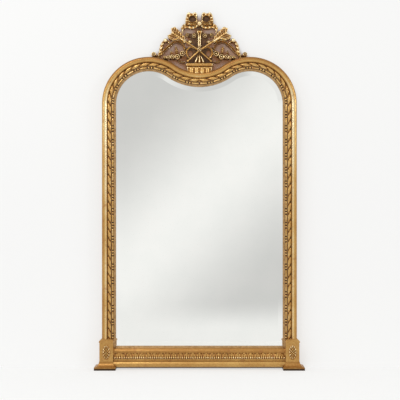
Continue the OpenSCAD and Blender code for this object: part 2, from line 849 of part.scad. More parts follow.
module bow(side) {
    color(gilt) on_side(side) crest_slab(ground_t, bow_t) difference() {
        bow_shape();
        polygon(smooth_loop(bow_hollow));
    }
}

module bow_knot() {
    color(gilt) crest_dome(knot, bow_face, knot[2] * 0.92);
}

module torch_stem() {
    color(gilt) crest_slab(ground_t, scroll_t + 2) polygon(stem);
}

module upper_berries() {
    color(gilt) for (side = [LEFT, RIGHT]) on_side(side) {
        for (p = berries) crest_dome(p, ground_t, p[2] * 1.3);
        crest_slab(ground_t, scroll_t) polygon(bud);
    }
}

// The feathers reach back to the ground round the scroll that they lie across
module arrow(side, depth) {
    color(gilt) on_side(side) {
        crest_slab(depth, arrow_t) {
            flight_shape();
            shaft_shape();
        }
        crest_slab(ground_t, depth - ground_t) difference() {
            flight_shape();
            scroll_shapes();
        }
    }
}

module centre_boss() {
    color(gilt) crest_dome(boss, arrow_face, boss[2] * 0.82);
}

module scroll_piece(side) {
    color(gilt) on_side(side) crest_slab(ground_t, scroll_t) difference() {
        strap(scroll);
        leaf_shape();
    }
}

module outer_leaf_piece(side) {
    color(gilt) on_side(side) {
        crest_slab(ground_t, scroll_t) leaf_shape();
        for (ball = [leaf_knob, volute_ball])
            crest_dome([ball[0], ball[1], ball[2] - ball_step], scroll_face, ball[2] * 0.7);
    }
}

module inner_scroll_piece(side) {
    color(gilt) on_side(side) crest_slab(ground_t, scroll_t) strap(inner_scroll);
}

// The garland reaches back to the ground round the scrolls that it lies across
module garland_piece(side) {
    color(gilt) on_side(side) {
        difference() {
            crest_slab(ground_t, scroll_t + garland_t) garland_shape();
            crest_slab(ground_t - 1, scroll_t + 1) scroll_shapes();
        }
        for (p = garland_berries) crest_dome(p, scroll_face + garland_t, p[2] * 0.8);
    }
}

module palmette() {
    color(gilt) crest_slab(ground_t, scroll_t) polygon(bell);
}

// What the basket's lower edge is fitted over
module under_basket_section() {
    timber_section();
    torus_section();
    translate([0, timber_d]) square([torus_u, torus_h]);
}

// Four upright staves on a plain body. What cuts its foot laps over the seams of the head by an angle
stave_proud = 8;
seam_lap = 1;
module basket_body() {
    color(gilt_dark) difference() {
        intersection() {
            translate([0, back_y - ground_t, head_top_z + basket_foot_z]) mirror([0, 1, 0])
                linear_extrude(rim_foot_z - basket_foot_z) union() {
                    translate([-basket_top_half, 0]) square([2 * basket_top_half, basket_d - stave_proud]);
                    for (i = [-1.5 : 1.5])
                        translate([i * stave_pitch, basket_d - stave_r]) circle(stave_r, $fn = FINE);
                }
            crest_slab(ground_t - 1, far) polygon([
                [-basket_foot_half, basket_foot_z], [basket_foot_half, basket_foot_z],
                [basket_top_half, rim_foot_z], [-basket_top_half, rim_foot_z]
            ]);
        }
        run_dip(-seam_lap) under_basket_section();
        for (side = [LEFT, RIGHT]) on_side(side) run_shoulder() under_basket_section();
    }
}

module basket_rim() {
    rim_h = rim_top_z - rim_foot_z;
    color(gilt) translate([-rim_half, back_y - ground_t, head_top_z + rim_foot_z]) rotate([90, 0, 90])
        linear_extrude(2 * rim_half) mirror([1, 0]) union() {
            square([rim_d - rim_h / 2, rim_h]);
            translate([rim_d - rim_h / 2, rim_h / 2]) circle(d = rim_h, $fn = FINE);
        }
}

// ---------- fittings at the back ----------

// Each mending plate: x, height and lean from upright
timber_mid = half_w + (rebate_w + face_w) / 2;
joint_r = shoulder_r + face_w / 2;
rail_mid_z = (rail_clear + rail_top_z - rebate_w) / 2;
corner_in = plate_l / 3;
crest_plate_x = 40 * crest_wide;
crest_plate_lean = 8;
plate_places = [
    for (side = [LEFT, RIGHT]) each [
        [side * timber_mid, shoulder_z, 0],
        [side * (shoulder_x - joint_r * sin(turn)), shoulder_z + joint_r * cos(turn), side * (90 - turn)],
        [side * (timber_mid - corner_in), rail_mid_z + 12, 90],
        [side * crest_plate_x, head_top_z + plate_l / 8, -side * crest_plate_lean]
    ]
];
hole_steps = [-0.38, -0.16, 0.16, 0.38];
hanger_holes = [0.46, 0.82];

// Sets what is drawn round the Z axis at each screw, pointing out of the back
module at_screws(depth) {
    for (p = plate_places) for (s = hole_steps)
        translate([p[0], back_y + depth, p[1]]) rotate([0, p[2], 0]) translate([0, 0, s * plate_l])
            rotate([-90, 0, 0]) children();
}

module at_hanger_screws(depth) {
    for (side = [LEFT, RIGHT]) for (s = hanger_holes)
        translate([side * hanger_x, back_y + depth, hanger_z - s * strap_l]) rotate([-90, 0, 0]) children();
}

module screw_holes() {
    at_screws(0) translate([0, 0, -screw_l]) cylinder(d = screw_dia, h = screw_l + plate_t, $fn = 24);
    at_hanger_screws(0) translate([0, 0, -screw_l]) cylinder(d = screw_dia, h = screw_l + strap_t, $fn = 24);
}

module screw(thick) {
    translate([0, 0, -screw_l]) cylinder(d = screw_dia, h = screw_l + thick, $fn = 24);
    translate([0, 0, thick]) dome(screw_head_r, screw_head_h);
}

module mending_plates() {
    color(steel) difference() {
        for (p = plate_places)
            translate([p[0], back_y, p[1]]) rotate([0, p[2], 0])
                translate([-plate_w / 2, 0, -plate_l / 2]) cube([plate_w, plate_t, plate_l]);
        screw_holes();
    }
}

module screws() {
    color(steel) {
        at_screws(0) screw(plate_t);
        at_hanger_screws(0) screw(strap_t);
    }
}

module hanger(side) {
    color("silver") on_side(side) difference() {
        union() {
            translate([hanger_x - strap_w / 2, back_y, hanger_z - strap_l]) cube([strap_w, strap_t, strap_l]);
            translate([hanger_x, back_y - ring_depth, hanger_z]) rotate([0, 90, 0])
                cylinder(r = knuckle_r, h = knuckle_l, center = true, $fn = FINE);
        }
        translate([hanger_x, back_y - ring_depth, hanger_z]) rotate([0, 90, 0])
            cylinder(r = wire_r + ring_fit, h = strap_w + 2, center = true, $fn = FINE);
        screw_holes();
    }
}

module d_ring(side) {
    color("silver") on_side(side) translate([hanger_x, back_y - ring_depth, hanger_z]) {
        rotate([0, 90, 0]) cylinder(r = wire_r, h = ring_w + wire_dia, center = true, $fn = FINE);
        rotate([90, 0, 0]) rotate_extrude(angle = 180, start = 180, $fn = FINE)
            translate([ring_w / 2, 0]) circle(wire_r, $fn = 48);
    }
}

// Felt pads that keep the frame off the wall
module wall_bumpers() {
    color("dimgray")
        for (side = [LEFT, RIGHT]) for (z = [lower_bumper_z, hanger_z + upper_bumper_rise])
            translate([side * hanger_x, back_y, z]) rotate([-90, 0, 0])
                cylinder(d = bumper_dia, h = bumper_t, $fn = FINE);
}

// ---------- the assembly ----------

stile(LEFT);  // stile_left
stile(RIGHT);  // stile_right
shoulder(LEFT);  // shoulder_left
shoulder(RIGHT);  // shoulder_right
head_dip();
bottom_rail();
torus_run(LEFT);  // torus_left
torus_run(RIGHT);  // torus_right
torus_head();
ribbon_run(LEFT);  // ribbon_left
ribbon_run(RIGHT);  // ribbon_right
ribbon_head();
bead_run(LEFT);  // bead_left
bead_run(RIGHT);  // bead_right
bead_head();
rail_ovolo();
rail_leaf_band();
rail_lower_torus();
plinth_block(LEFT);  // plinth_block_left
plinth_block(RIGHT);  // plinth_block_right
plinth_cap(LEFT);  // plinth_cap_left
plinth_cap(RIGHT);  // plinth_cap_right
patera(LEFT);  // patera_left
patera(RIGHT);  // patera_right
foot_base(LEFT);  // foot_base_left
foot_base(RIGHT);  // foot_base_right
mirror_glass();
backing_board();
glue_blocks();
crest_ground();
bow(LEFT);  // bow_left
bow(RIGHT);  // bow_right
bow_knot();
torch_stem();
upper_berries();
arrow(LEFT, scroll_face);  // arrow_left
arrow(RIGHT, scroll_face + arrow_t);  // arrow_right
centre_boss();
scroll_piece(LEFT);  // scroll_left
scroll_piece(RIGHT);  // scroll_right
outer_leaf_piece(LEFT);  // outer_leaf_left
outer_leaf_piece(RIGHT);  // outer_leaf_right
inner_scroll_piece(LEFT);  // inner_scroll_left
inner_scroll_piece(RIGHT);  // inner_scroll_right
garland_piece(LEFT);  // garland_left
garland_piece(RIGHT);  // garland_right
palmette();
basket_body();
basket_rim();
mending_plates();
screws();
hanger(LEFT);  // hanger_left
hanger(RIGHT);  // hanger_right
d_ring(LEFT);  // d_ring_left
d_ring(RIGHT);  // d_ring_right
wall_bumpers();
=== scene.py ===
# Gilt overmantel mirror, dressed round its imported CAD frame.
# Lengths are written in millimetres and turned to metres where a mesh is made. X is to the right, Y towards
# the wall, Z up. A depth is counted forwards from the frame's flat back.
import math

import bmesh
import bpy
import numpy as np
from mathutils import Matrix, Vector


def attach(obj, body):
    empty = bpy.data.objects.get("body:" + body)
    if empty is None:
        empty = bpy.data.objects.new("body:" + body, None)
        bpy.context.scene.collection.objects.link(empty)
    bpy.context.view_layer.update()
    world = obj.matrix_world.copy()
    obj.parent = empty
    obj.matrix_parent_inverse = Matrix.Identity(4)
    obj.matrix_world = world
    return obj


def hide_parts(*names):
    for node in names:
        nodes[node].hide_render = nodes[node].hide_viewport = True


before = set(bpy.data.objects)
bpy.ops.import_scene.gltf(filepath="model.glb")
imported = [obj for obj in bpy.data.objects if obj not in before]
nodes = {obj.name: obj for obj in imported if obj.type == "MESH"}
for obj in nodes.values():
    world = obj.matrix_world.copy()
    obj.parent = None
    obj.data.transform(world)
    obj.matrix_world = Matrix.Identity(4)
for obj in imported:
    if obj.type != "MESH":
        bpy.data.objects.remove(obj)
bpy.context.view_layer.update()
scene = bpy.context.scene


# ---------- frame timber ----------
# Stiles, shoulders, the dipped head piece and the bottom rail: pine, with gesso and worn gold leaf on the
# faces that show and bare behind. The flat bands between the mouldings are toned down with brown size.

MM = 0.001
BACK_Y = 42.0
TIMBER_DEPTH = 30.0
GILDED_TO = 9.0
BARE_FROM = 6.0
SIZED_PATCH = 14.0
# Painted contact shade: colours darken in the last millimetres over the floor.
FLOOR_SHADE = "2c1d0e"
FLOOR_SHADE_TOP = 12.0
FLOOR_SHADE_FULL = 8.5
FLOOR_SHADE_SHARE = 0.92
COLOUR_A, COLOUR_B, COLOUR_OUT = 6, 7, 2


def linear(colour):
    """The linear colour of an sRGB hex value."""
    parts = [int(colour[i:i + 2], 16) / 255 for i in (0, 2, 4)]
    return [c / 12.92 if c <= 0.04045 else ((c + 0.055) / 1.055) ** 2.4 for c in parts] + [1.0]


def feed(tree, node, inputs):
    """Sets a node's inputs, by name or in order. A node stands for its first output, and a node in a pair
    for the output that the pair names."""
    for name, value in inputs.items() if isinstance(inputs, dict) else enumerate(inputs):
        paired = isinstance(value, tuple) and isinstance(value[0], bpy.types.Node)
        source, output = value if paired else (value, 0)
        if isinstance(source, bpy.types.Node):
            tree.links.new(source.outputs[output], node.inputs[name])
        else:
            node.inputs[name].default_value = value
    return node


def add(tree, kind, inputs=(), stops=(), **settings):
    """Adds one node with its inputs and settings and, on a colour ramp, its sRGB hex stops."""
    node = tree.nodes.new(kind)
    for name, value in settings.items():
        setattr(node, name, value)
    if stops:
        marks = node.color_ramp.elements
        while len(marks) < len(stops):
            marks.new(0.5)
        for mark, (place, colour) in zip(marks, stops):
            mark.position = place
            mark.color = linear(colour)
    return feed(tree, node, inputs)


def started(name):
    """A new material, its tree and its shader, and the object coordinates that its patterns lie on."""
    material = bpy.data.materials.new(name)
    material.use_nodes = True
    tree = material.node_tree
    return material, tree, tree.nodes["Principled BSDF"], (add(tree, "ShaderNodeTexCoord"), "Object")


def patches(coords, size, detail=3.0):
    """The inputs of a noise whose patches are about size millimetres across."""
    return {"Vector": coords, "Scale": 1 / (size * MM), "Detail": detail, "Roughness": 0.6}


def upright_grain(tree, coords, width, stretch, detail):
    """The grain of a planed board: noise of a width in millimetres, drawn out upwards."""
    along = add(tree, "ShaderNodeMapping", {"Vector": coords, "Scale": (1.0, 1.0, 1 / stretch)})
    return add(tree, "ShaderNodeTexNoise", {"Vector": along, "Scale": 1 / (width * MM), "Detail": detail})


def shaded_near_floor(tree, coords, colour):
    """A colour that darkens in the last millimetres over the floor: a painted contact shade."""
    place = add(tree, "ShaderNodeSeparateXYZ", [coords])
    low = add(tree, "ShaderNodeMapRange", {
        "Value": (place, "Z"), "From Min": FLOOR_SHADE_TOP * MM, "From Max": FLOOR_SHADE_FULL * MM,
        "To Max": FLOOR_SHADE_SHARE,
    }, interpolation_type="SMOOTHSTEP")
    floor_shade_mix = {"Factor": low, COLOUR_A: colour, COLOUR_B: linear(FLOOR_SHADE)}
    return add(tree, "ShaderNodeMix", floor_shade_mix, data_type="RGBA"), COLOUR_OUT


def surface(tree, shader, colour, rough, metal=0.0, bump=None):
    """Gives a shader its colour, roughness and metal, and a bump: its pattern, strength and depth."""
    feed(tree, shader, {"Base Color": colour, "Roughness": rough, "Metallic": metal})
    if bump:
        pattern, strength, depth = bump
        raised = {"Height": pattern, "Strength": strength, "Distance": depth * MM}
        feed(tree, shader, {"Normal": add(tree, "ShaderNodeBump", raised)})


def toned_timber():
    """Pine that is gilded and toned with brown size at the front and bare at the back."""
    material, tree, shader, coords = started("pine_gilded_in_front")
    sized = add(tree, "ShaderNodeTexNoise", patches(coords, SIZED_PATCH))
    front = add(tree, "ShaderNodeValToRGB", [sized], stops=[(0.3, "96703f"), (0.7, "c29c6a")])
    grain = upright_grain(tree, coords, width=3.0, stretch=20, detail=4.0)
    bare = add(tree, "ShaderNodeValToRGB", [grain], stops=[(0.3, "8d6a45"), (0.7, "b8935f")])
    place = add(tree, "ShaderNodeSeparateXYZ", [coords])
    behind = add(tree, "ShaderNodeMapRange", {
        "Value": (place, "Y"), "From Min": (BACK_Y - GILDED_TO) * MM, "From Max": (BACK_Y - BARE_FROM) * MM,
    })
    both = add(tree, "ShaderNodeMix", {"Factor": behind, COLOUR_A: front, COLOUR_B: bare}, data_type="RGBA")
    metal = add(tree, "ShaderNodeMapRange", {"Value": behind, "To Min": 0.45, "To Max": 0.0})
    rough = add(tree, "ShaderNodeMapRange", {"Value": behind, "To Min": 0.5, "To Max": 0.8})
    surface(tree, shader, shaded_near_floor(tree, coords, (both, COLOUR_OUT)), rough, metal)
    return material


def finish_nodes(material, slot, *names):
    """Gives CAD nodes a finish and leaves their meshes alone."""
    for name in names:
        node = nodes[name]
        node.data.materials.clear()
        node.data.materials.append(material)


finish_nodes(toned_timber(), "frame_timber", "stile_left", "stile_right", "shoulder_left", "shoulder_right",
             "head_dip", "bottom_rail")


# ---------- outer torus ----------
# The plain half-round moulding at the outside of the frame: pine, gesso and burnished gold leaf, with a
# painted highlight along its inner side, painted lighter towards the tops of the stiles and darker over the
# head. One length on each stile and one over the head, planted on the timber's face.

HALF_W = 420.0
SHOULDER_R = 166.0
SHOULDER_Z = 1327.5
DIP_RISE = 86.5
CAP_TOP = 150.0
SHOULDER_X = HALF_W - SHOULDER_R
DIP_R = (SHOULDER_X ** 2 + DIP_RISE ** 2 - SHOULDER_R ** 2) / (2 * (SHOULDER_R - DIP_RISE))
DIP_Z = SHOULDER_Z + DIP_RISE + DIP_R
TURN = math.atan2(SHOULDER_X, DIP_Z - SHOULDER_Z)
SHOULDER_STEPS = 80
DIP_STEPS = 30
CREASE = 50
WELD = 0.004
JOIN = 0.01
RED_BOLE = "96582e"
LEAF_STOPS = [(0.0, "321d08"), (0.25, "704718"), (0.5, "a77536"), (0.78, "d0a661"), (1.0, "f2deb0")]
WEAR_PATCH = 8.0
BOLE_PATCH = 26.0
BROAD_PATCH = 110.0
BROAD_SHARE = 0.24
GESSO_GRAIN = 3.5
# Heights of the painted highlight towards the tops of the stiles and of the painted shade over the head.
SHEEN_FROM = 700.0
SHEEN_FULL = (1250.0, 1320.0)
SHEEN_TO = 1510.0
HEAD_SHADE = -0.16


def spotted(tree, colour, noise, low, high, most, spot):
    """The spots where a noise is high, and a colour that goes over to another in them."""
    reach = {"Value": noise, "From Min": low, "From Max": high, "To Max": most}
    spots = add(tree, "ShaderNodeMapRange", reach)
    both = {"Factor": spots, COLOUR_A: colour, COLOUR_B: linear(spot)}
    return spots, (add(tree, "ShaderNodeMix", both, data_type="RGBA"), COLOUR_OUT)


def gold_leaf(name, even=0.0, wear=0.5, upper_sheen=0.0):
    """Water-gilt gold leaf on gesso. High places are worn bright, hollows hold brown size and dust, and
    in spots the leaf is worn through to red bole. A carved mesh says in its relief attribute how high each
    place stands, with painted light in some of it, and even says it for a plain one. A moulding given a
    sheen by height is painted lighter towards the tops of its stiles and darker over the head: painted
    highlight and shade."""
    material, tree, shader, coords = started(name)
    stands = (add(tree, "ShaderNodeAttribute", attribute_name="relief"), "Fac")
    if even:
        stands = add(tree, "ShaderNodeMath", [stands, even], operation="ADD")
    worn = add(tree, "ShaderNodeTexNoise", patches(coords, WEAR_PATCH))
    broad = add(tree, "ShaderNodeTexNoise", patches(coords, BROAD_PATCH, detail=1.0))
    blotch = add(tree, "ShaderNodeMath", [worn, wear, -wear / 2], operation="MULTIPLY_ADD")
    sweep = add(tree, "ShaderNodeMath", [broad, BROAD_SHARE, -BROAD_SHARE / 2], operation="MULTIPLY_ADD")
    wear_and_sheen = add(tree, "ShaderNodeMath", [blotch, sweep], operation="ADD")
    # Painted highlight towards the tops of the stiles and painted shade over the head.
    if upper_sheen:
        place = add(tree, "ShaderNodeSeparateXYZ", [coords])
        sides = [add(tree, "ShaderNodeMapRange", {
            "Value": (place, "Z"), "From Min": end * MM, "From Max": full * MM, "To Min": least,
            "To Max": upper_sheen,
        }) for end, full, least in ((SHEEN_FROM, SHEEN_FULL[0], 0.0),
                                    (SHEEN_TO, SHEEN_FULL[1], HEAD_SHADE))]
        sheen_by_height = add(tree, "ShaderNodeMath", sides, operation="MINIMUM")
        wear_and_sheen = add(tree, "ShaderNodeMath", [wear_and_sheen, sheen_by_height], operation="ADD")
    tone = add(tree, "ShaderNodeMath", [stands, wear_and_sheen], operation="ADD", use_clamp=True)
    leaf = add(tree, "ShaderNodeValToRGB", [tone], stops=LEAF_STOPS)
    bole = add(tree, "ShaderNodeTexNoise", patches(coords, BOLE_PATCH, detail=5.0))
    through, colour = spotted(tree, leaf, bole, low=0.55, high=0.7, most=0.5, spot=RED_BOLE)
    metal = add(tree, "ShaderNodeMapRange", {"Value": tone, "To Min": 0.25, "To Max": 0.95})
    kept = add(tree, "ShaderNodeMath", [through, -0.5, 1.0], operation="MULTIPLY_ADD")
    shine = add(tree, "ShaderNodeMath", [metal, kept], operation="MULTIPLY")
    rough = add(tree, "ShaderNodeMapRange", {"Value": tone, "To Min": 0.6, "To Max": 0.22})
    grain = add(tree, "ShaderNodeTexNoise", patches(coords, GESSO_GRAIN))
    surface(tree, shader, shaded_near_floor(tree, coords, colour), rough, shine, bump=(grain, 0.3, 0.5))
    return material


def linked(name, mesh):
    thing = bpy.data.objects.new(name, mesh)
    scene.collection.objects.link(thing)
    return thing


def mesh_of(name, points, faces, relief=None):
    """A mesh from points in millimetres, with how high each point stands in the carving."""
    mesh = bpy.data.meshes.new(name)
    mesh.from_pydata([[c * MM for c in p] for p in points], [], [list(f) for f in faces])
    if relief is not None:
        layer = mesh.attributes.new("relief", "FLOAT", "POINT")
        layer.data.foreach_set("value", np.asarray(relief, np.float32).ravel())
    return mesh


def shaded(thing, crease=CREASE):
    """Smooth faces that meet in an edge where they turn by more than the crease angle."""
    thing.data.polygons.foreach_set("use_smooth", [True] * len(thing.data.polygons))
    thing.data.set_sharp_from_angle(angle=math.radians(crease))
    return thing


def closed(thing, crease=CREASE):
    """Merges doubles, fills open ends and turns the faces outwards."""
    work = bmesh.new()
    work.from_mesh(thing.data)
    bmesh.ops.remove_doubles(work, verts=work.verts, dist=WELD * MM)
    bmesh.ops.holes_fill(work, edges=[e for e in work.edges if e.is_boundary], sides=0)
    bmesh.ops.recalc_face_normals(work, faces=work.faces)
    work.to_mesh(thing.data)
    work.free()
    return shaded(thing, crease)


def mirrored(mesh):
    """A copy of a right-hand mesh for the left-hand side."""
    copy = mesh.copy()
    points = np.empty(len(copy.vertices) * 3, np.float32)
    copy.vertices.foreach_get("co", points)
    points[0::3] *= -1
    copy.vertices.foreach_set("co", points)
    copy.flip_normals()
    return copy


def joined(name, meshes):
    """One mesh from several."""
    work = bmesh.new()
    for mesh in meshes:
        work.from_mesh(mesh)
    mesh = bpy.data.meshes.new(name)
    work.to_mesh(mesh)
    work.free()
    for material in meshes[0].materials:
        mesh.materials.append(material)
    return mesh


def arc(cx, cz, r, start, end, steps):
    angles = [start + (end - start) * i / steps for i in range(steps + 1)]
    return [(cx + r * math.cos(a), cz + r * math.sin(a)) for a in angles]


def stile_path(u):
    """Up the right stile, u outwards from the glass edge."""
    return [(HALF_W + u, CAP_TOP), (HALF_W + u, SHOULDER_Z)]


def head_path(u):
    """Round the right shoulder and down to the middle of the dip."""
    over = arc(SHOULDER_X, SHOULDER_Z, SHOULDER_R + u, 0, math.pi / 2 + TURN, SHOULDER_STEPS)
    down = arc(0, DIP_Z, DIP_R - u, 1.5 * math.pi + TURN, 1.5 * math.pi, DIP_STEPS)
    return over + down[1:]


def length_of(path):
    return sum(math.dist(a, b) for a, b in zip(path, path[1:]))


def laid_along_path():
    """Repeats a pattern along a straight line and bends the line to a path. The pattern is drawn with X
    across the moulding, Y up from the timber and Z along it."""
    tree = bpy.data.node_groups.new("laid_along_path", "GeometryNodeTree")
    for name, kind in (("Path", "Geometry"), ("Pattern", "Object"), ("Pitch", "Float"), ("Count", "Int"),
                       ("Finish", "Material")):
        tree.interface.new_socket(name=name, in_out="INPUT", socket_type="NodeSocket" + kind)
    tree.interface.new_socket(name="Moulding", in_out="OUTPUT", socket_type="NodeSocketGeometry")
    start = add(tree, "NodeGroupInput")
    curve = add(tree, "GeometryNodeMeshToCurve", {"Mesh": (start, "Path")})
    step = add(tree, "ShaderNodeCombineXYZ", {"Z": (start, "Pitch")})
    line = add(tree, "GeometryNodeMeshLine", {"Count": (start, "Count"), "Offset": step}, mode="OFFSET")
    pattern = add(tree, "GeometryNodeObjectInfo", {"Object": (start, "Pattern")})
    many = add(tree, "GeometryNodeInstanceOnPoints", {"Points": line, "Instance": (pattern, "Geometry")})
    real = add(tree, "GeometryNodeRealizeInstances", {"Geometry": many})
    place = add(tree, "GeometryNodeInputPosition")
    apart = add(tree, "ShaderNodeSeparateXYZ", [place])
    spot = add(tree, "GeometryNodeSampleCurve", {"Curves": curve, "Length": (apart, "Z")}, mode="LENGTH")
    forwards = (0.0, -1.0, 0.0)
    outwards = add(tree, "ShaderNodeVectorMath", [(spot, "Tangent"), forwards], operation="CROSS_PRODUCT")
    across = add(tree, "ShaderNodeVectorMath", {0: outwards, "Scale": (apart, "X")}, operation="SCALE")
    lift = add(tree, "ShaderNodeVectorMath", {0: forwards, "Scale": (apart, "Y")}, operation="SCALE")
    shifted = add(tree, "ShaderNodeVectorMath", [(spot, "Position"), across], operation="ADD")
    final = add(tree, "ShaderNodeVectorMath", [shifted, lift], operation="ADD")
    bent = add(tree, "GeometryNodeSetPosition", {"Geometry": real, "Position": final})
    merged = add(tree, "GeometryNodeMergeByDistance", {"Geometry": bent, "Distance": JOIN * MM})
    painted = add(tree, "GeometryNodeSetMaterial", {"Geometry": merged, "Material": (start, "Finish")})
    add(tree, "NodeGroupOutput", {"Moulding": painted})
    return tree


LAID = laid_along_path()


def grown(name, tree, mesh, inputs):
    """What a geometry tree makes of a mesh, as a plain mesh."""
    host = linked(name + "_host", mesh)
    growth = host.modifiers.new("growth", "NODES")
    growth.node_group = tree
    for item in tree.interface.items_tree:
        if item.in_out == "INPUT" and item.name in inputs:
            growth[item.identifier] = inputs[item.name]
    bpy.context.view_layer.update()
    shape = host.evaluated_get(bpy.context.evaluated_depsgraph_get())
    result = bpy.data.meshes.new_from_object(shape)
    bpy.data.objects.remove(host)
    result.name = name
    return result


def laid(name, path, pattern, count, finish):
    """A moulding of count patterns along a path on the timber's face, as a closed mesh."""
    points = [(x * MM, (BACK_Y - TIMBER_DEPTH) * MM, z * MM) for x, z in path]
    line = bpy.data.meshes.new(name + "_path")
    line.from_pydata(points, [(i, i + 1) for i in range(len(points) - 1)], [])
    unit = linked(name + "_pattern", pattern)
    mesh = grown(name, LAID, line, {
        "Pattern": unit, "Pitch": length_of(path) / count * MM, "Count": count, "Finish": finish,
    })
    bpy.data.objects.remove(unit)
    return closed(linked(name, mesh))


def tube(rows, sides):
    """Faces between rows of points that each go once round a section."""
    return [(row + j, row + (j + 1) % sides, row + sides + (j + 1) % sides, row + sides + j)
            for row in range(0, (rows - 1) * sides, sides) for j in range(sides)]


def lofted(rings, relief):
    """A pattern from one ring of points after another."""
    rings = np.asarray(rings, float)
    return mesh_of("pattern", rings.reshape(-1, 3), tube(*rings.shape[:2]), relief)


def rounded(dia, height, sides, sink=0.0):
    """Distance across and height of each point round a section that is cut flat on the timber."""
    centre = height - dia / 2
    low = -math.asin(min(1, centre / (dia / 2)))
    angles = np.linspace(low, math.pi - low, sides)
    radius = dia / 2 - sink
    return radius * np.cos(angles), np.maximum(centre + radius * np.sin(angles), 0)


def settled(thing, slot, *replaced):
    """Fixes a piece to the frame in place of its CAD nodes."""
    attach(thing, "root")
    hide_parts(*replaced)
    return thing


def on_frame(stem, name, u, pattern, counts, finish, slot):
    """One length on each stile and one over the head. The pattern's counts are for a stile and for half the
    head."""
    def run(part, path, count):
        return laid(name + part, path, pattern(length_of(path) / count), count, finish)

    right = run("_right", stile_path(u), counts[0])
    left = linked(name + "_left", mirrored(right.data))
    half = run("_half", head_path(u), counts[1])
    head = shaded(linked(name + "_over_head", joined(name, [half.data, mirrored(half.data)])))
    bpy.data.objects.remove(half)
    for piece, part in ((right, "_right"), (left, "_left"), (head, "_head")):
        settled(piece, slot, stem + part)


TORUS_U = 55.0
TORUS_DIA = 25.0
TORUS_H = 21.5
TORUS_SIDES = 33
TORUS_COUNTS = (60, 60)
TORUS_LEAN = 1.16
INNER_HIGHLIGHT_AT = -0.28
INNER_HIGHLIGHT_HALF = 0.29


def torus_pattern(pitch):
    """A plain length, a little fuller on its inner side, with a painted highlight along that side."""
    across, height = rounded(TORUS_DIA, TORUS_H, TORUS_SIDES)
    across = np.where(across < 0, across * TORUS_LEAN, across)
    rings = [[(a, h, z) for a, h in zip(across, height)] for z in (0, pitch / 2, pitch)]
    # A painted highlight along the inner side.
    wear_and_sheen = np.exp(-((across / TORUS_DIA - INNER_HIGHLIGHT_AT) / INNER_HIGHLIGHT_HALF) ** 2)
    relief = 0.46 + 0.12 * np.minimum(1, height / TORUS_H * 1.5) + 0.3 * wear_and_sheen
    return lofted(rings, list(relief) * len(rings))


# The torus carries painted light by height: lighter towards the tops of the stiles, darker over the head.
gilt_torus = gold_leaf("gold_leaf_on_turned_gesso", wear=0.24, upper_sheen=0.18)
on_frame("torus", "outer_torus", TORUS_U, torus_pattern, TORUS_COUNTS, gilt_torus, "gilt_plain")


# ---------- twisted ribbon ----------
# A ribbon wound round a rod, carved in pine and gilded. The twist runs from outside above to inside below on
# both stiles, and the gaps between the windings are dark with old size.

RIBBON_U = 31.0
RIBBON_DIA = 18.0
RIBBON_H = 14.0
RIBBON_SIDES = 25
RIBBON_ROWS = 24
RIBBON_COUNTS = (26, 13)
RIBBON_GAP = 0.16
RIBBON_SINK = 4.2
RIBBON_WALL = 0.6
RIBBON_SLOPE = 1.05


def dome(q):
    """The height of a ball's front at a share of its radius."""
    return np.sqrt(np.clip(1 - q ** 2, 0, 1))


def smooth_step(x, low, high):
    t = np.clip((x - low) / (high - low), 0, 1)
    return t * t * (3 - 2 * t)


def ribbon_pattern(pitch):
    """One winding: it rises from the gap by a wall and swells to a belly in its middle."""
    rings, relief = [], []
    wide, _ = rounded(RIBBON_DIA, RIBBON_H, RIBBON_SIDES)
    fade = np.clip(np.sin(np.linspace(0, math.pi, RIBBON_SIDES)) * 3, 0, 1)
    for i in range(RIBBON_ROWS + 1):
        phase = (i / RIBBON_ROWS - wide * RIBBON_SLOPE / pitch) % 1.0
        edge = np.minimum(phase, 1 - phase)
        wall = smooth_step(edge, 0, RIBBON_GAP)
        belly = dome(1 - smooth_step(edge, RIBBON_GAP / 2, 0.5))
        sink = (1 - RIBBON_WALL * wall - (1 - RIBBON_WALL) * belly) * RIBBON_SINK * fade
        across, height = rounded(RIBBON_DIA, RIBBON_H, RIBBON_SIDES, sink)
        rings.append([(a, h, pitch * i / RIBBON_ROWS) for a, h in zip(across, height)])
        # The low sides are painted lighter to offset their shade: painted light.
        relief += list(np.clip(0.1 + 0.4 * wall + 0.24 * belly + 0.32 * (1 - height / RIBBON_H), 0, 1))
    return lofted(rings, relief)


gilt_carved = gold_leaf("gold_leaf_on_carved_gesso")
on_frame("ribbon", "twisted_ribbon", RIBBON_U, ribbon_pattern, RIBBON_COUNTS, gilt_carved, "gilt_carved")


# ---------- bead and bar ----------
# Two round beads and a long bar, over and over, carved on a strip next to the sight lip and gilded. The
# strip is dark with old size between them.

BEAD_U = 14.25
BEAD_DIA = 10.4
BEAD_H = 7.6
BEAD_STEP = 13.7
BEAD_SIDES = 13
BEAD_ROWS = 7
BEAD_TIP = 0.02
BEAD_COUNTS = (17, 8)
BAR_DIA = 8.8
BAR_H = 6.8
BAR_END = 3.0
BAR_SHARE = 0.54
STRIP_W = 11.2
STRIP_H = 1.6
STRIP_ROWS = 7
STRIP_TONE = 0.05


def pill(z0, z1, dia, height, ends):
    """Points and faces of a rounded bar, or of a bead where both ends are its own radius."""
    across, up = rounded(dia, height, BEAD_SIDES)
    centre = height - dia / 2
    rows = [(z0 + ends * (1 - math.cos(turn)), max(math.sin(turn), BEAD_TIP))
            for turn in np.linspace(0, math.pi / 2, BEAD_ROWS)]
    rows += [(z0 + z1 - z, share) for z, share in reversed(rows)]
    points = [(a * share, max(STRIP_H / 2, centre + (h - centre) * share), z)
              for z, share in rows for a, h in zip(across, up)]
    last = len(points) - BEAD_SIDES
    caps = [tuple(range(BEAD_SIDES)), tuple(range(last, len(points)))]
    return points, tube(len(rows), BEAD_SIDES) + caps


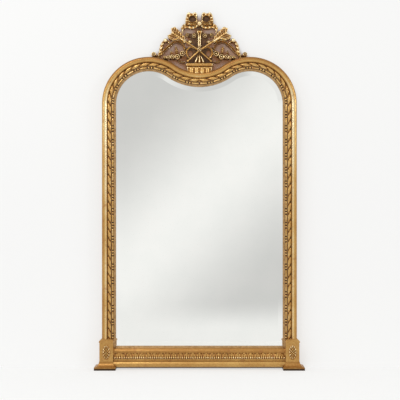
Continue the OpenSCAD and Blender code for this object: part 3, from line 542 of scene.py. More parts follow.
def bead_pattern(pitch):
    """A length of the strip with its two beads and its bar."""
    half = STRIP_W / 2
    section = [(-half, 0), (-half, STRIP_H), (half, STRIP_H), (half, 0)]
    points = [(a, h, z) for z in np.linspace(0, pitch, STRIP_ROWS) for a, h in section]
    faces = tube(STRIP_ROWS, len(section))
    relief = [STRIP_TONE] * len(points)
    r = BEAD_DIA / 2
    shapes = [pill(middle - r, middle + r, BEAD_DIA, BEAD_H, r)
              for middle in (BEAD_STEP / 2, BEAD_STEP * 1.5)]
    bar = pitch * BAR_SHARE
    bar_z = (pitch + 2 * BEAD_STEP - bar) / 2
    shapes.append(pill(bar_z, bar_z + bar, BAR_DIA, BAR_H, BAR_END))
    for more, sides in shapes:
        faces += [tuple(len(points) + k for k in f) for f in sides]
        points += more
        relief += [np.clip(0.4 + 0.4 * (h - STRIP_H / 2) / (BEAD_H * 0.75), 0, 0.8) for _, h, _ in more]
    return mesh_of("pattern", points, faces, relief)


on_frame("bead", "bead_and_bar", BEAD_U, bead_pattern, BEAD_COUNTS, gilt_carved, "gilt_carved")


# ---------- bottom rail mouldings ----------
# A plain ovolo under the sight lip, a band of carved leaves that hang tip down, and a plain torus at the
# foot, all gilded. The band ends in a broader leaf against each plinth block. The ovolo has painted shade: a
# darker copy of the plain gilding.

BLOCK_IN = 429.5
BAND_Z = 50.0
BAND_H = 32.0
BAND_STEPS = ((0.0, 20.0), (5.0, 24.0), (12.0, 23.0), (32.0, 17.0))
BAND_ROWS = 29
BAND_LIP = 2.0
LEAF_COUNT = 23
LEAF_CUT = 6.0
LEAF_CREASE = 60
CORNER_LEAF = 61.5
LOBE_STEPS = 12
LOBES_FROM = (7.0, 12.0)
DROP_UP = 6.5
DROP_HALF = 5.5
EYE_UP = 12.0
EYE_HALF = 3.5
# The span of the painted shadow line at the foot of the band.
FOOT_SHADOW = (0.5, 3.0)


def leaf_pattern(lobes):
    """One leaf of the band under a rounded top: lobes that spread downwards to bright drops, dark eyes
    between the drops and a dart on each side of the top."""
    def pattern(pitch):
        up = np.linspace(0, BAND_H, BAND_ROWS)
        face = np.interp(up, *zip(*BAND_STEPS))
        high = up / BAND_H
        under = 1 - smooth_step(up, *FOOT_SHADOW)
        rings, relief = [], []
        for along in np.linspace(0, pitch, LOBE_STEPS * lobes + 1):
            aside = along - pitch / 2
            share = np.abs(aside) / (pitch / 2)
            narrowed = aside / (pitch / 2 * (1 - 0.5 * high))
            lobe = np.abs(np.cos(np.clip(narrowed, -1, 1) * lobes * math.pi / 2))
            arch = 1 - smooth_step(np.hypot(share, np.maximum(high - 0.42, 0) / 0.56), 0.86, 1.02)
            dart = (1 - arch) * smooth_step(share, 0.72, 1.0) * smooth_step(high, 0.5, 0.8)
            across_drop = (share * lobes / 2 + (lobes % 2) / 2) % 1.0 - 0.5
            drop = dome(np.hypot(across_drop / 0.46, (up - DROP_UP) / DROP_HALF))
            eye = np.exp(-((np.abs(across_drop) - 0.5) / 0.16) ** 2 - ((up - EYE_UP) / EYE_HALF) ** 2)
            fan = arch * (0.25 + 0.5 * lobe ** 0.8) * smooth_step(up, *LOBES_FROM)
            stand = np.maximum(np.maximum(fan, drop), 0.55 * dart) * (1 - 0.8 * eye)
            stand = np.where(up > BAND_H - BAND_LIP, 0.6, stand)
            lift = face - LEAF_CUT * (1 - stand)
            rings.append([(a, h, along) for a, h in zip([0, *up, BAND_H], [0, *lift, 0])])
            # A painted shadow line darkens the band's lowest millimetres, over the lower torus.
            tone = 0.36 + 0.42 * stand + 0.18 * drop - 0.25 * eye - 0.4 * under
            relief += [0.05, *np.clip(tone, 0.05, 1), 0.4]
        return lofted(rings, relief)
    return pattern


def leaf_band():
    """The run of leaves between two corner leaves, as one moulding."""
    run = BLOCK_IN - CORNER_LEAF
    corner, leaf = leaf_pattern(lobes=5), leaf_pattern(lobes=3)
    stretches = [(BLOCK_IN, run, 1, corner), (run, -run, LEAF_COUNT, leaf), (-run, -BLOCK_IN, 1, corner)]
    parts = [laid(f"leaves_{k}", [(x0, BAND_Z), (x1, BAND_Z)], pattern((x0 - x1) / count), count,
                  gilt_carved) for k, (x0, x1, count, pattern) in enumerate(stretches)]
    band = linked("leaf_band", joined("leaf_band", [part.data for part in parts]))
    for part in parts:
        bpy.data.objects.remove(part)
    return shaded(band, LEAF_CREASE)


gilt_plain = gold_leaf("gold_leaf_on_plain_gesso", even=0.66, wear=0.3)
# A darker copy of the plain gilding: painted shade on the ovolo and the feet.
gilt_painted_darker = gold_leaf("gold_leaf_painted_darker_as_shade", even=0.53, wear=0.3)
settled(leaf_band(), "gilt_carved", "rail_leaf_band")
finish_nodes(gilt_painted_darker, "gilt_plain", "rail_ovolo")
finish_nodes(gilt_plain, "gilt_plain", "rail_lower_torus")


# ---------- plinths ----------
# The blocks and caps that the stiles stand on are gilded pine, rubbed brighter than the frame, and their
# feet have painted shade: a darker copy of the gilding. Each block carries an oval patera: a flower with two
# rows of petals on a thin base.

CREST_Z = SHOULDER_Z + DIP_RISE + 67.5
CELL = 1.2
EDGE_ROUND = 5.0
EDGE_SHARE = 0.4
HIGH_PLACE = 7.0
HOLLOW_REACH = 4.5
CUT_NEAR = 0.02
SIDE_TONE = 0.1
PATERA_AT = (463.5, 87.5)
PATERA_HALF = (20.6, 38.0)
PATERA_BOX = (-22, -40, 22, 40)
PATERA_CELL = 0.8
PATERA_BACK = 66.0
PATERA_FACE = 75.6
PATERA_BASE = 2.6
PETALS = 12
OUTER_PETAL = (0.66, 0.33)
INNER_PETAL = (0.3, 0.22)
PETAL_VEIN = 0.3
HEART = 0.15


def softened(values, reach):
    """The mean over a square of cells, twice."""
    for axis in (0, 1, 0, 1):
        values = np.mean([np.roll(values, k, axis) for k in range(-reach, reach + 1)], axis=0)
    return values


def relief_mesh(name, field, back, box, tone=0.5, contrast=1.0, cell=CELL, at=(0.0, CREST_Z)):
    """A relief over a fine grid of cells, cut off along the piece's own outline, with a flat back. How high
    a place stands over those round it is kept as its relief."""
    x0, z0, x1, z1 = box
    x, z = np.meshgrid(np.arange(x0, x1 + cell, cell), np.arange(z0, z1 + cell, cell), indexing="ij")
    inside, depth = field(x, z)
    land = np.sqrt(1 - (1 - np.clip(inside / EDGE_ROUND, 0, 1)) ** 2)
    depth = back + (depth - back) * (EDGE_SHARE + (1 - EDGE_SHARE) * land)
    solid = np.where(inside > 0, depth, back)
    high = solid - softened(solid, max(2, round(HOLLOW_REACH / cell)))
    marks = np.clip(tone + contrast * high / HIGH_PLACE, 0.05, 1.0)
    points, tones, faces, index = [], [], [], {}

    def put(key, px, pz, d, mark):
        if key not in index:
            index[key] = len(points)
            points.extend([(at[0] + px, BACK_Y - d, at[1] + pz), (at[0] + px, BACK_Y - back, at[1] + pz)])
            tones.extend([mark, SIDE_TONE])
        return index[key]

    def corner(p):
        return put(p, x[p], z[p], depth[p], marks[p])

    def crossing(p, q):
        a, b = inside[p], inside[q]
        t = min(max(a / (a - b), CUT_NEAR), 1 - CUT_NEAR)
        return put((min(p, q), max(p, q)), x[p] + (x[q] - x[p]) * t, z[p] + (z[q] - z[p]) * t,
                   depth[p] + (depth[q] - depth[p]) * t, marks[p])

    full = inside > 0
    touched = full[:-1, :-1] | full[1:, :-1] | full[1:, 1:] | full[:-1, 1:]
    for i, j in np.argwhere(touched):
        ring = [(i, j), (i + 1, j), (i + 1, j + 1), (i, j + 1)]
        walk = []
        for p, q in zip(ring, ring[1:] + ring[:1]):
            if full[p]:
                walk.append((corner(p), False))
            if full[p] != full[q]:
                walk.append((crossing(p, q) if full[p] else crossing(q, p), True))
        faces.append([v for v, _ in walk])
        faces.append([v + 1 for v, _ in reversed(walk)])
        for (v, cut_v), (w, cut_w) in zip(walk, walk[1:] + walk[:1]):
            if cut_v and cut_w:
                faces.append([v, v + 1, w + 1, w])
    return mesh_of(name, points, faces, tones)


def patera(x, z):
    q = np.hypot(x / PATERA_HALF[0], z / PATERA_HALF[1])
    turn = np.arctan2(z / PATERA_HALF[1], x / PATERA_HALF[0]) * PETALS / 2
    along = q - OUTER_PETAL[0]
    outer = np.abs(np.cos(turn)) ** 0.7 * dome(along / OUTER_PETAL[1])
    vein = PETAL_VEIN * np.exp(-(np.sin(turn) / 0.2) ** 2) * dome(along / 0.3)
    inner = np.abs(np.sin(turn / 2)) ** 0.7 * dome((q - INNER_PETAL[0]) / INNER_PETAL[1])
    high = np.maximum(np.maximum(outer - vein, inner * 0.95), dome(q / HEART))
    floor = PATERA_BACK + PATERA_BASE
    return (1 - q) * PATERA_HALF[0], floor + (PATERA_FACE - floor) * np.clip(high, 0.1, 1)


def planted(name, mesh, finish, slot, *replaced):
    """A carved piece in place of its CAD nodes."""
    thing = closed(linked(name, mesh))
    thing.data.materials.append(finish)
    return settled(thing, slot, *replaced)


flower = relief_mesh("patera", patera, PATERA_BACK, PATERA_BOX, tone=0.6, contrast=0.95,
                     cell=PATERA_CELL, at=PATERA_AT)
right_patera = planted("oval_patera_right", flower, gilt_carved, "gilt_carved", "patera_right")
settled(linked("oval_patera_left", mirrored(right_patera.data)), "gilt_carved", "patera_left")
finish_nodes(gilt_plain, "gilt_plain", "plinth_block_left", "plinth_block_right", "plinth_cap_left",
             "plinth_cap_right")
# Painted shade on the feet: the darker copy of the gilding.
finish_nodes(gilt_painted_darker, "gilt_plain", "foot_base_left", "foot_base_right")


# ---------- mirror glass ----------
# One plate of float glass, silvered at the back and bevelled all round, held in the rebate. Its outline is
# the sight edge of the frame moved out by the cover.

RAIL_TOP = 111.0
GLASS_COVER = 8.0
GLASS_BACK = 14.5
GLASS_EDGE = 18.0
GLASS_FACE = 20.5
GLASS_CREASE = 3
GLASS_STEPS = (96, 60)
BEVEL_W = 25.0
WIPED_PATCH = 170.0


def sight_outline(grow):
    """The glass edge moved outwards, in equal steps whatever the distance."""
    right = arc(SHOULDER_X, SHOULDER_Z, SHOULDER_R + grow, 0, math.pi / 2 + TURN, GLASS_STEPS[0])
    dip = arc(0, DIP_Z, DIP_R - grow, 1.5 * math.pi + TURN, 1.5 * math.pi - TURN, GLASS_STEPS[1])
    left = [(-x, z) for x, z in reversed(right)]
    foot = RAIL_TOP - grow
    return [(HALF_W + grow, foot)] + right + dip[1:-1] + left + [(-HALF_W - grow, foot)]


def silvered():
    """Silvered float glass: very slightly green, with a faint haze of old dust and wiping in patches."""
    material, tree, shader, coords = started("silvered_float_glass")
    haze = add(tree, "ShaderNodeTexNoise", patches(coords, WIPED_PATCH, detail=4.0))
    tint = add(tree, "ShaderNodeValToRGB", [haze], stops=[(0.35, "f4f5f1"), (0.7, "f8f8f4")])
    rough = add(tree, "ShaderNodeMapRange", {
        "Value": haze, "From Min": 0.3, "From Max": 0.75, "To Min": 0.012, "To Max": 0.03,
    })
    surface(tree, shader, tint, rough, metal=1.0)
    return material


def glass_mesh():
    rings = [(GLASS_COVER, GLASS_BACK), (GLASS_COVER, GLASS_EDGE), (0.0, GLASS_EDGE), (-BEVEL_W, GLASS_FACE)]
    points = [(x, BACK_Y - depth, z) for grow, depth in rings for x, z in sight_outline(grow)]
    around = len(points) // len(rings)
    back, front = tuple(range(around)), tuple(range(len(points) - around, len(points)))
    return mesh_of("glass", points, tube(len(rings), around) + [back, front])


glass = closed(linked("mirror_plate", glass_mesh()), GLASS_CREASE)
glass.data.materials.append(silvered())
settled(glass, "mirror", "mirror_glass")


# ---------- backing ----------
# A board of raw pine closes the back of the rebate and pine glue blocks hold it. Both have gone brown with
# age, with dust in the grain.

DIRT_PATCH = 60.0
DIRT = "5a452f"


def old_pine(name, stops):
    """Unpainted pine with its grain upright: broad bands of early and late wood and fine fibres."""
    material, tree, shader, coords = started(name)
    bands = upright_grain(tree, coords, width=16, stretch=45, detail=2.0)
    many = add(tree, "ShaderNodeMath", [bands, 7.0], operation="MULTIPLY")
    lines = add(tree, "ShaderNodeMath", [many, 0.5], operation="PINGPONG")
    wood = add(tree, "ShaderNodeMath", [lines, 0.8, 0.15], operation="MULTIPLY_ADD")
    fibre = upright_grain(tree, coords, width=1.6, stretch=30, detail=4.0)
    tone = add(tree, "ShaderNodeMath", [fibre, 0.4, wood], operation="MULTIPLY_ADD", use_clamp=True)
    colour = add(tree, "ShaderNodeValToRGB", [tone], stops=stops)
    dirt = add(tree, "ShaderNodeTexNoise", patches(coords, DIRT_PATCH, detail=5.0))
    _, aged = spotted(tree, colour, dirt, low=0.45, high=0.75, most=0.45, spot=DIRT)
    surface(tree, shader, aged, rough=0.82, bump=(tone, 0.4, 0.5))
    return material


finish_nodes(old_pine("raw_pine_board", [(0.1, "7c5b38"), (0.5, "a9824f"), (0.9, "c29e6c")]),
             "backing", "backing_board")
finish_nodes(old_pine("sawn_pine_block", [(0.1, "6d4d2d"), (0.5, "99713f"), (0.9, "bb935c")]),
             "glue_blocks", "glue_blocks")


# ---------- crest ground ----------
# The pierced board behind the carving: pine, sized and toned dark brown, so that it reads as shadow.

GROUND_FACE = 16.0


def ground_toned_as_shade():
    """Brown size over red bole on pine, toned dark as painted shade, with a little dull gold left on it."""
    material, tree, shader, coords = started("brown_sized_pine_painted_as_shade")
    size = add(tree, "ShaderNodeTexNoise", patches(coords, size=12))
    tone = add(tree, "ShaderNodeValToRGB", [size],
               stops=[(0.3, "43290f"), (0.55, "5c3d1e"), (0.75, "7d5a34")])
    grain = add(tree, "ShaderNodeTexNoise", patches(coords, size=3))
    surface(tree, shader, tone, rough=0.7, metal=0.15, bump=(grain, 0.3, 0.6))
    return material


finish_nodes(ground_toned_as_shade(), "crest_ground", "crest_ground")


# ---------- crest: ribbon bow ----------
# A bow tied at the top of the torch: a scalloped loop, a fold and a curling tail on each side of a round
# knot. Pine, carved in relief and gilded, glued on the ground. Places in the crest count from CREST_Z.

BOW_FACE = 34.0
TAIL_FACE = 31.0
RING_AT, RING_HALF, RING_H = 0.76, 0.25, 0.85
BALL_R = 0.4


def flowing(points, steps=7, loop=False):
    """A smooth curve through control points, each an x, a height and perhaps a width."""
    p = [points[-1], *points, *points[:2]] if loop else [points[0], *points, points[-1]]
    p = np.array(p, float)
    rows = []
    for a, b, c, d in zip(p, p[1:], p[2:], p[3:]):
        for t in np.arange(steps) / steps:
            rows.append(0.5 * (2 * b + (c - a) * t + (2 * a - 5 * b + 4 * c - d) * t ** 2
                               + (3 * b - a - 3 * c + d) * t ** 3))
    return np.array(rows if loop else rows + [p[-1]])


def strap(points, shape):
    """A strap along a curve. Its shape gives the depth from the share across, -1 to 1, and the way
    along."""
    line = flowing(points)

    def field(x, z):
        best = np.full(x.shape, -1e9)
        across, along = np.zeros(x.shape), np.zeros(x.shape)
        way = 0.0
        for a, b in zip(line, line[1:]):
            dx, dz = b[0] - a[0], b[1] - a[1]
            long = math.hypot(dx, dz)
            t = np.clip(((x - a[0]) * dx + (z - a[1]) * dz) / long ** 2, 0, 1)
            off_x, off_z = x - a[0] - t * dx, z - a[1] - t * dz
            off = np.hypot(off_x, off_z)
            half = (a[2] + (b[2] - a[2]) * t) / 2
            inside = half - off
            nearer = inside > best
            across = np.where(nearer, np.sign(dx * off_z - dz * off_x) * off / half, across)
            along = np.where(nearer, way + t * long, along)
            best = np.where(nearer, inside, best)
            way += long
        return best, shape(across, along)
    return field


def sheet_of(points, shape):
    """A flat-lying leaf or block inside a closed outline. Its shape gives the depth at a place."""
    outline = np.array(points, float)

    def field(x, z):
        away = np.full(x.shape, 1e9)
        within = np.zeros(x.shape, bool)
        for a, b in zip(outline, np.roll(outline, -1, axis=0)):
            dx, dz = b - a
            t = np.clip(((x - a[0]) * dx + (z - a[1]) * dz) / (dx * dx + dz * dz), 0, 1)
            away = np.minimum(away, np.hypot(x - a[0] - t * dx, z - a[1] - t * dz))
            if dz:
                within ^= ((a[1] > z) != (b[1] > z)) & (x < a[0] + (z - a[1]) * dx / dz)
        return np.where(within, away, -away), shape(x, z)
    return field


def turned(place, base, rise, section):
    """A round piece. Its section gives the height from the share of its radius."""
    cx, cz, r = place

    def field(x, z):
        q = np.hypot(x - cx, z - cz) / r
        return (1 - q) * r, base + rise * section(q)
    return field


def ringed(q):
    """The section of a berry: a ball in a raised ring, with a dark groove between them."""
    return np.maximum(np.maximum(RING_H * dome((q - RING_AT) / RING_HALF), dome(q / BALL_R)), 0.1)


def over(*fields):
    """Several shapes as one: the highest wins where they meet."""
    def field(x, z):
        found = [f(x, z) for f in fields]
        inside = np.max([f[0] for f in found], axis=0)
        depth = np.max([np.where(f[0] > 0, f[1], -1e9) for f in found], axis=0)
        nearest = np.argmax([f[0] for f in found], axis=0)
        return inside, np.where(inside > 0, depth, np.choose(nearest, [f[1] for f in found]))
    return field


def carved(name, mesh, *replaced):
    """A gilded piece of the crest in place of its CAD nodes."""
    return planted(name, mesh, gilt_carved, "gilt_crest", *replaced)


def carved_pair(name, field, box, stem, tone):
    """A carved piece on the right of the ground and its twin on the left."""
    right = carved(name + "_right", relief_mesh(name, field, GROUND_FACE, box, tone), stem + "_right")
    settled(linked(name + "_left", mirrored(right.data)), "gilt_crest", stem + "_left")


def box_of(points, margin=4):
    """The box round control points, with room for half the widest of them."""
    p = np.array([(x, z) for x, z, _ in points], float)
    more = margin + max(w for _, _, w in points) / 2
    return (*(p.min(axis=0) - more), *(p.max(axis=0) + more))


def off_ground(face, high):
    """The depth of a place that stands so high between the ground and a piece's face."""
    return GROUND_FACE + (face - GROUND_FACE) * np.clip(high, 0, 1)


def wavy(face, wave):
    """A ribbon's section: thin raised edges and soft folds along it."""
    def shape(across, along):
        fold = 0.5 + 0.5 * np.cos(2 * math.pi * along / wave)
        edge = smooth_step(np.abs(across), 0.45, 0.8)
        return off_ground(face, 0.44 + 0.3 * fold + 0.3 * edge)
    return shape


BOW_LOOP = [(9, 254), (11, 274), (10, 292), (20, 306), (32, 301), (42, 301), (52, 306), (64, 296), (69, 276),
            (70, 254), (58, 241), (36, 237), (16, 241)]
BOW_HOLLOW = [(18, 264), (20, 280), (32, 287), (46, 283), (53, 270), (44, 260), (30, 259)]
BOW_TAIL = [(12, 238, 10), (25, 229, 12), (44, 228, 13), (64, 232, 12), (78, 227, 11), (85, 214, 8),
            (84, 204, 5)]
BOW_FOLD = [(56, 246, 12), (71, 243, 12), (83, 235, 10), (90, 223, 6)]
BOW_BOX = (4, 199, 97, 313)
BOW_TOP = 305.9
TAIL_WAVE = 21
FOLD_WAVE = 17
LOOP_MIDDLE = (36.0, 262.0)
LOOP_FOLDS = (255, 262)
LONG_FOLD = 8.5
LONG_FOLD_AT = 246
PLEATS = 11
PLEAT_CUT = 9.0
PLEATS_FROM = (14, 26)
LOOP_LIP = (34, 42)
KNOT = (0, 247, 13)
KNOT_BOX = (-15, 232, 15, 262)
KNOT_RISE = 12.0


def pleated(x, z):
    """Pleats that spread from the hollow over the top of a loop, and long folds under it."""
    dx, dz = x - LOOP_MIDDLE[0], z - LOOP_MIDDLE[1]
    out = np.hypot(dx, dz)
    pleat = 0.5 + 0.5 * np.cos(np.arctan2(dz, dx) * PLEATS)
    spread = 0.25 + 0.75 * pleat * smooth_step(out, *PLEATS_FROM) + 0.5 * smooth_step(out, *LOOP_LIP)
    fold = 0.5 + 0.5 * np.cos((z - LONG_FOLD_AT) / LONG_FOLD * 2 * math.pi)
    above = smooth_step(z, *LOOP_FOLDS)
    high = above * np.clip(spread, 0, 1) + (1 - above) * fold
    return BOW_FACE - PLEAT_CUT * (1 - np.clip(high, 0, 1))


def bow_loop(x, z):
    inside, depth = sheet_of(flowing(BOW_LOOP, 5, True), pleated)(x, z)
    hollow, _ = sheet_of(flowing(BOW_HOLLOW, 5, True), pleated)(x, z)
    return np.minimum(np.minimum(inside, -hollow), BOW_TOP - z), depth


carved_pair("carved_bow", over(bow_loop, strap(BOW_TAIL, wavy(TAIL_FACE, TAIL_WAVE)),
                               strap(BOW_FOLD, wavy(BOW_FACE, FOLD_WAVE))), BOW_BOX, "bow", tone=0.56)
ball = turned(KNOT, BOW_FACE, KNOT_RISE, dome)
carved("tied_knot", relief_mesh("knot", ball, BOW_FACE, KNOT_BOX, tone=0.6), "bow_knot")


# ---------- crest: torch stem and berries ----------
# A short torch with two reeds under a flaring top, and on each side of it two ringed berries and a bud.
# Pine, carved in relief and gilded.

STEM = [(9, 129), (9, 193), (16, 206), (12, 215), (-12, 215), (-16, 206), (-9, 193), (-9, 129)]
STEM_BOX = (-18, 127, 18, 218)
STEM_BASE = 23
STEM_RISE = 9
REED_AT = 4.5
REED_HALF = 4.6
TORCH_NECK = 193.0
TORCH_COLLAR = 3.0
REED_TOP = 189.0
FLARE_TOP = 206
FLARE_HALF = (8.5, 7)
BERRIES = [(27, 188, 12), (62, 192, 11)]
BERRY_BOX = (12, 144, 76, 206)
BERRY_BASE = 20.0
BERRY_RISE = 15
BUD = [(34, 151), (46, 148), (60, 152), (61, 162), (48, 166), (35, 162)]
BUD_MIDDLE = (48.0, 157.0)
BUD_HALF = (13, 8.5)
BUD_BASE = 20
BUD_RISE = 12
BUD_CUT = (2.5, 1.6)


def reeded(x, z):
    """Two reeds up the stem, a collar at its neck and a rolled flare."""
    reeds = dome((np.abs(x) - REED_AT) / REED_HALF)
    wide = FLARE_HALF[0] + FLARE_HALF[1] * smooth_step(z, TORCH_NECK, FLARE_TOP)
    roll = np.exp(-((np.abs(x) / wide - 0.62) / 0.3) ** 2)
    collar = np.exp(-((z - TORCH_NECK) / TORCH_COLLAR) ** 2)
    return STEM_BASE + STEM_RISE * np.where(z > REED_TOP, np.maximum(roll, collar), reeds)


def bud_shape(x, z):
    """A ball with a cut along its middle."""
    aside, up = x - BUD_MIDDLE[0], z - BUD_MIDDLE[1]
    cut, wide = BUD_CUT
    q = np.hypot(aside / BUD_HALF[0], up / BUD_HALF[1])
    return BUD_BASE + BUD_RISE * dome(q) - cut * np.exp(-(up / wide) ** 2)


torch = relief_mesh("torch", sheet_of(STEM, reeded), GROUND_FACE, STEM_BOX, tone=0.74)
carved("carved_torch", torch, "torch_stem")
sprig = over(*[turned(berry, BERRY_BASE, BERRY_RISE, ringed) for berry in BERRIES],
             sheet_of(BUD, bud_shape))
half_berries = relief_mesh("berries", sprig, GROUND_FACE, BERRY_BOX, tone=0.85)
carved("ringed_berries", joined("berries", [half_berries, mirrored(half_berries)]), "upper_berries")


# ---------- crest: scrolls and leaves ----------
# C-scrolls with a rolled edge, acanthus straps outside them with a volute at their foot, and two inner
# scrolls that hold the boss. Pine, carved in relief and gilded.

def rolled(face, side):
    """A scroll's section: a high roll along one edge, a lower one along the other and a channel between."""
    def shape(across, along):
        place = side * across
        high = np.exp(-((place - 0.42) / 0.38) ** 2) + 0.5 * np.exp(-((place + 0.72) / 0.2) ** 2)
        return off_ground(face, 0.34 + 0.68 * high)
    return shape


def leafy(face, lobe):
    """An acanthus strap: a ridge down its middle and a lobe each side for every step along it."""
    def shape(across, along):
        turn = math.pi * (along / lobe + 0.55 * np.abs(across))
        return off_ground(face, 0.42 + 0.42 * np.abs(np.sin(turn)) + 0.24 * np.exp(-(across / 0.22) ** 2))
    return shape


SCROLL_FACE = 30.0
SCROLL_FRONT = 38.0
SCROLL = [(200, 89, 11), (189, 100, 14), (170, 120, 16), (149, 140, 16), (130, 154, 14), (112, 160, 14),
          (96, 157, 13), (84, 146, 12), (77, 133, 11), (73, 122, 9)]
OUTER_LEAF = [(153, 154, 8), (162, 162, 10), (172, 163, 13), (183, 152, 14), (190, 136, 16), (194, 118, 15),
              (199, 102, 12), (203, 90, 12), (205, 80, 10)]
LEAF_LOBE = 20
LEAF_KNOB = (170, 164, 11)
VOLUTE = [(196, 88, 9), (210, 87, 9), (224, 90, 9)]
VOLUTE_BALL = (229, 95, 12)
BALL_BASE = 26.0
KNOB_BASE = 25.0
BALL_RISE = 11
INNER_SCROLL = [(16, 121, 7), (28, 128, 9), (43, 131, 11), (57, 124, 11), (65, 110, 11), (64, 94, 10),
                (56, 80, 10), (44, 71, 8)]
leaf_outline = over(strap(OUTER_LEAF, leafy(SCROLL_FACE, LEAF_LOBE)), strap(VOLUTE, rolled(SCROLL_FACE, 1)),
                    turned(VOLUTE_BALL, BALL_BASE, BALL_RISE, ringed),
                    turned(LEAF_KNOB, KNOB_BASE, BALL_RISE, dome))


def scroll_beside_leaf(x, z):
    """The scroll, cut off along the leaf that lies against it."""
    inside, depth = strap(SCROLL, rolled(SCROLL_FRONT, -1))(x, z)
    return np.minimum(inside, -leaf_outline(x, z)[0]), depth


carved_pair("carved_scroll", scroll_beside_leaf, box_of(SCROLL), "scroll", tone=0.72)
carved_pair("carved_outer_leaf", leaf_outline, box_of(OUTER_LEAF + VOLUTE + [VOLUTE_BALL], margin=8),
            "outer_leaf", tone=0.55)
carved_pair("carved_inner_scroll", strap(INNER_SCROLL, rolled(SCROLL_FACE, 1)), box_of(INNER_SCROLL),
            "inner_scroll", tone=0.74)


# ---------- crest: crossed arrows ----------
# Two arrows crossed behind the boss, feathers outwards and upwards. The right one lies over the left one.
# Pine, carved in relief and gilded.

ARROW_T = 6.0
ARROW_MIDDLE = 112.0
ARROW_LEAN = math.radians(33.4)
ARROW_COS, ARROW_SIN = math.cos(ARROW_LEAN), math.sin(ARROW_LEAN)
ARROW_W = 8.0
SHAFT_LONG = 92.0
ROD_ROUND = 3.0
ROD_BOX = (-68, 50, 84, 172)
BARB_PITCH = 11.0
BARB_CUT = 6.0
BARB_SLOPE = 0.9
QUILL_HALF = 3.5
FLIGHT_GAP = 1.0
FLIGHT = [(80, -5), (90, -19), (106, -27), (130, -30), (160, -35), (177, -25), (166, -2), (182, 15),
          (170, 34), (146, 30), (118, 24), (96, 16), (80, 5)]
FLIGHT_BOX = (54, 118, 190, 250)
ARROW_FOOT = [(4, 115, 8), (-29, 86, 8), (-58, 60, 7)]
FOOT_KNOB = (-58, 60, 6)
FOOT_RISE = 4
BOSS = (0, 116, 11)
BOSS_BOX = (-13, 103, 13, 129)
BOSS_BACK = 42.0
BOSS_RISE = 9


def leaned(along, across):
    """Where a place on the arrow, so far along and across it, lies in the crest."""
    return along * ARROW_COS - across * ARROW_SIN, ARROW_MIDDLE + along * ARROW_SIN + across * ARROW_COS


def round_rod(face):
    return lambda across, along: face - ROD_ROUND + ROD_ROUND * dome(across)


def arrow(side, face):
    def barbs(x, z):
        along = x * ARROW_COS + (z - ARROW_MIDDLE) * ARROW_SIN
        across = (z - ARROW_MIDDLE) * ARROW_COS - x * ARROW_SIN
        barb = 0.5 + 0.5 * np.cos(2 * math.pi * (along - BARB_SLOPE * np.abs(across)) / BARB_PITCH)
        quill = np.exp(-(across / QUILL_HALF) ** 2)
        return face - BARB_CUT + BARB_CUT * np.clip(0.85 * barb * (1 - quill) + quill, 0, 1)

    def flight(x, z):
        """The feathers, cut away where the scroll passes in front of them."""
        inside, depth = sheet_of([leaned(*place) for place in FLIGHT], barbs)(x, z)
        return np.minimum(inside, -FLIGHT_GAP - strap(SCROLL, round_rod(face))(x, z)[0]), depth

    shaft = [(*leaned(0, 0), ARROW_W), (*leaned(SHAFT_LONG, 0), ARROW_W)]
    rods = over(strap(shaft, round_rod(face)), strap(ARROW_FOOT, round_rod(face)),
                turned(FOOT_KNOB, face - FOOT_RISE, FOOT_RISE, ringed))
    parts = [relief_mesh("feathers", flight, GROUND_FACE, FLIGHT_BOX, tone=0.54, contrast=1.1),
             relief_mesh("rod", rods, face - ARROW_T, ROD_BOX, tone=0.36)]
    whole = joined("arrow", parts if side == "right" else [mirrored(m) for m in parts])
    carved("feathered_arrow_" + side, whole, "arrow_" + side)


arrow("left", SCROLL_FACE + ARROW_T)
arrow("right", SCROLL_FACE + 2 * ARROW_T)
carved("boss_button", relief_mesh("boss", turned(BOSS, BOSS_BACK, BOSS_RISE, ringed), BOSS_BACK, BOSS_BOX),
       "centre_boss")


# ---------- crest: garlands ----------
# A garland of ringed berries and small leaves hangs across the foot of each scroll. Pine, carved in relief
# and gilded.

GARLAND = [(181, 76, 7), (166, 76, 15), (146, 78, 20), (124, 79, 22), (104, 83, 22), (89, 94, 20),
           (81, 107, 10)]
GARLAND_BERRIES = [(84, 96, 15), (111, 80, 14), (136, 80, 12), (156, 77, 11), (173, 79, 8)]
GARLAND_LEAVES = [[(108, 90, 8), (114, 106, 13), (116, 122, 11), (121, 137, 3)],
                  [(112, 70, 8), (98, 59, 12), (84, 54, 10), (73, 56, 5)],
                  [(136, 88, 8), (142, 101, 11), (141, 114, 3)]]
GARLAND_FACE = 31.0
GARLAND_LEAF = 35.0
BERRY_STANDS = 5
BERRY_FULLER = 0.6
GARLAND_BOX = (66, 44, 188, 142)
GARLAND_LOBE = 13
SMALL_LOBE = 11
carved_pair("carved_garland", over(
    strap(GARLAND, leafy(GARLAND_FACE, GARLAND_LOBE)),
    *[strap(leaf, leafy(GARLAND_LEAF, SMALL_LOBE)) for leaf in GARLAND_LEAVES],
    *[turned((x, z, r), GARLAND_LEAF, BERRY_STANDS + r * BERRY_FULLER, ringed)
      for x, z, r in GARLAND_BERRIES],
), GARLAND_BOX, "garland", tone=0.6)


# ---------- crest: palmette and basket ----------
# A bell of leaves under the boss stands in a small basket with a rolled rim and upright staves. Pine, carved
# in relief and gilded.

BELL = [(0, 106), (6, 92), (13, 80), (24, 66), (26, 56), (26, 51), (-26, 51), (-26, 56), (-24, 66),
        (-13, 80), (-6, 92)]
BELL_BOX = (-29, 48, 29, 109)
BELL_TOP = 106
BELL_DEEP = 50
BELL_BASE = 20
BELL_RISE = 11
FAN_MIDDLE = 112
FAN_LEAVES = 9
RIM_Z = (31.0, 50.0)
RIM_HALF = 70.0
RIM_BOX = (-72, 29, 72, 52)
RIM_BASE = 37
RIM_RISE = 13.5
BASKET_HALF = (57.0, 66.0)
BASKET_Z = (-9.0, 31.0)
BASKET_BOX = (-68, -11, 68, 33)
BASKET_BACK = 30
BASKET_BASE = 39
BASKET_RISE = 8.5
BASKET_RING = (9, 6)
STAVE_PITCH = 27.0


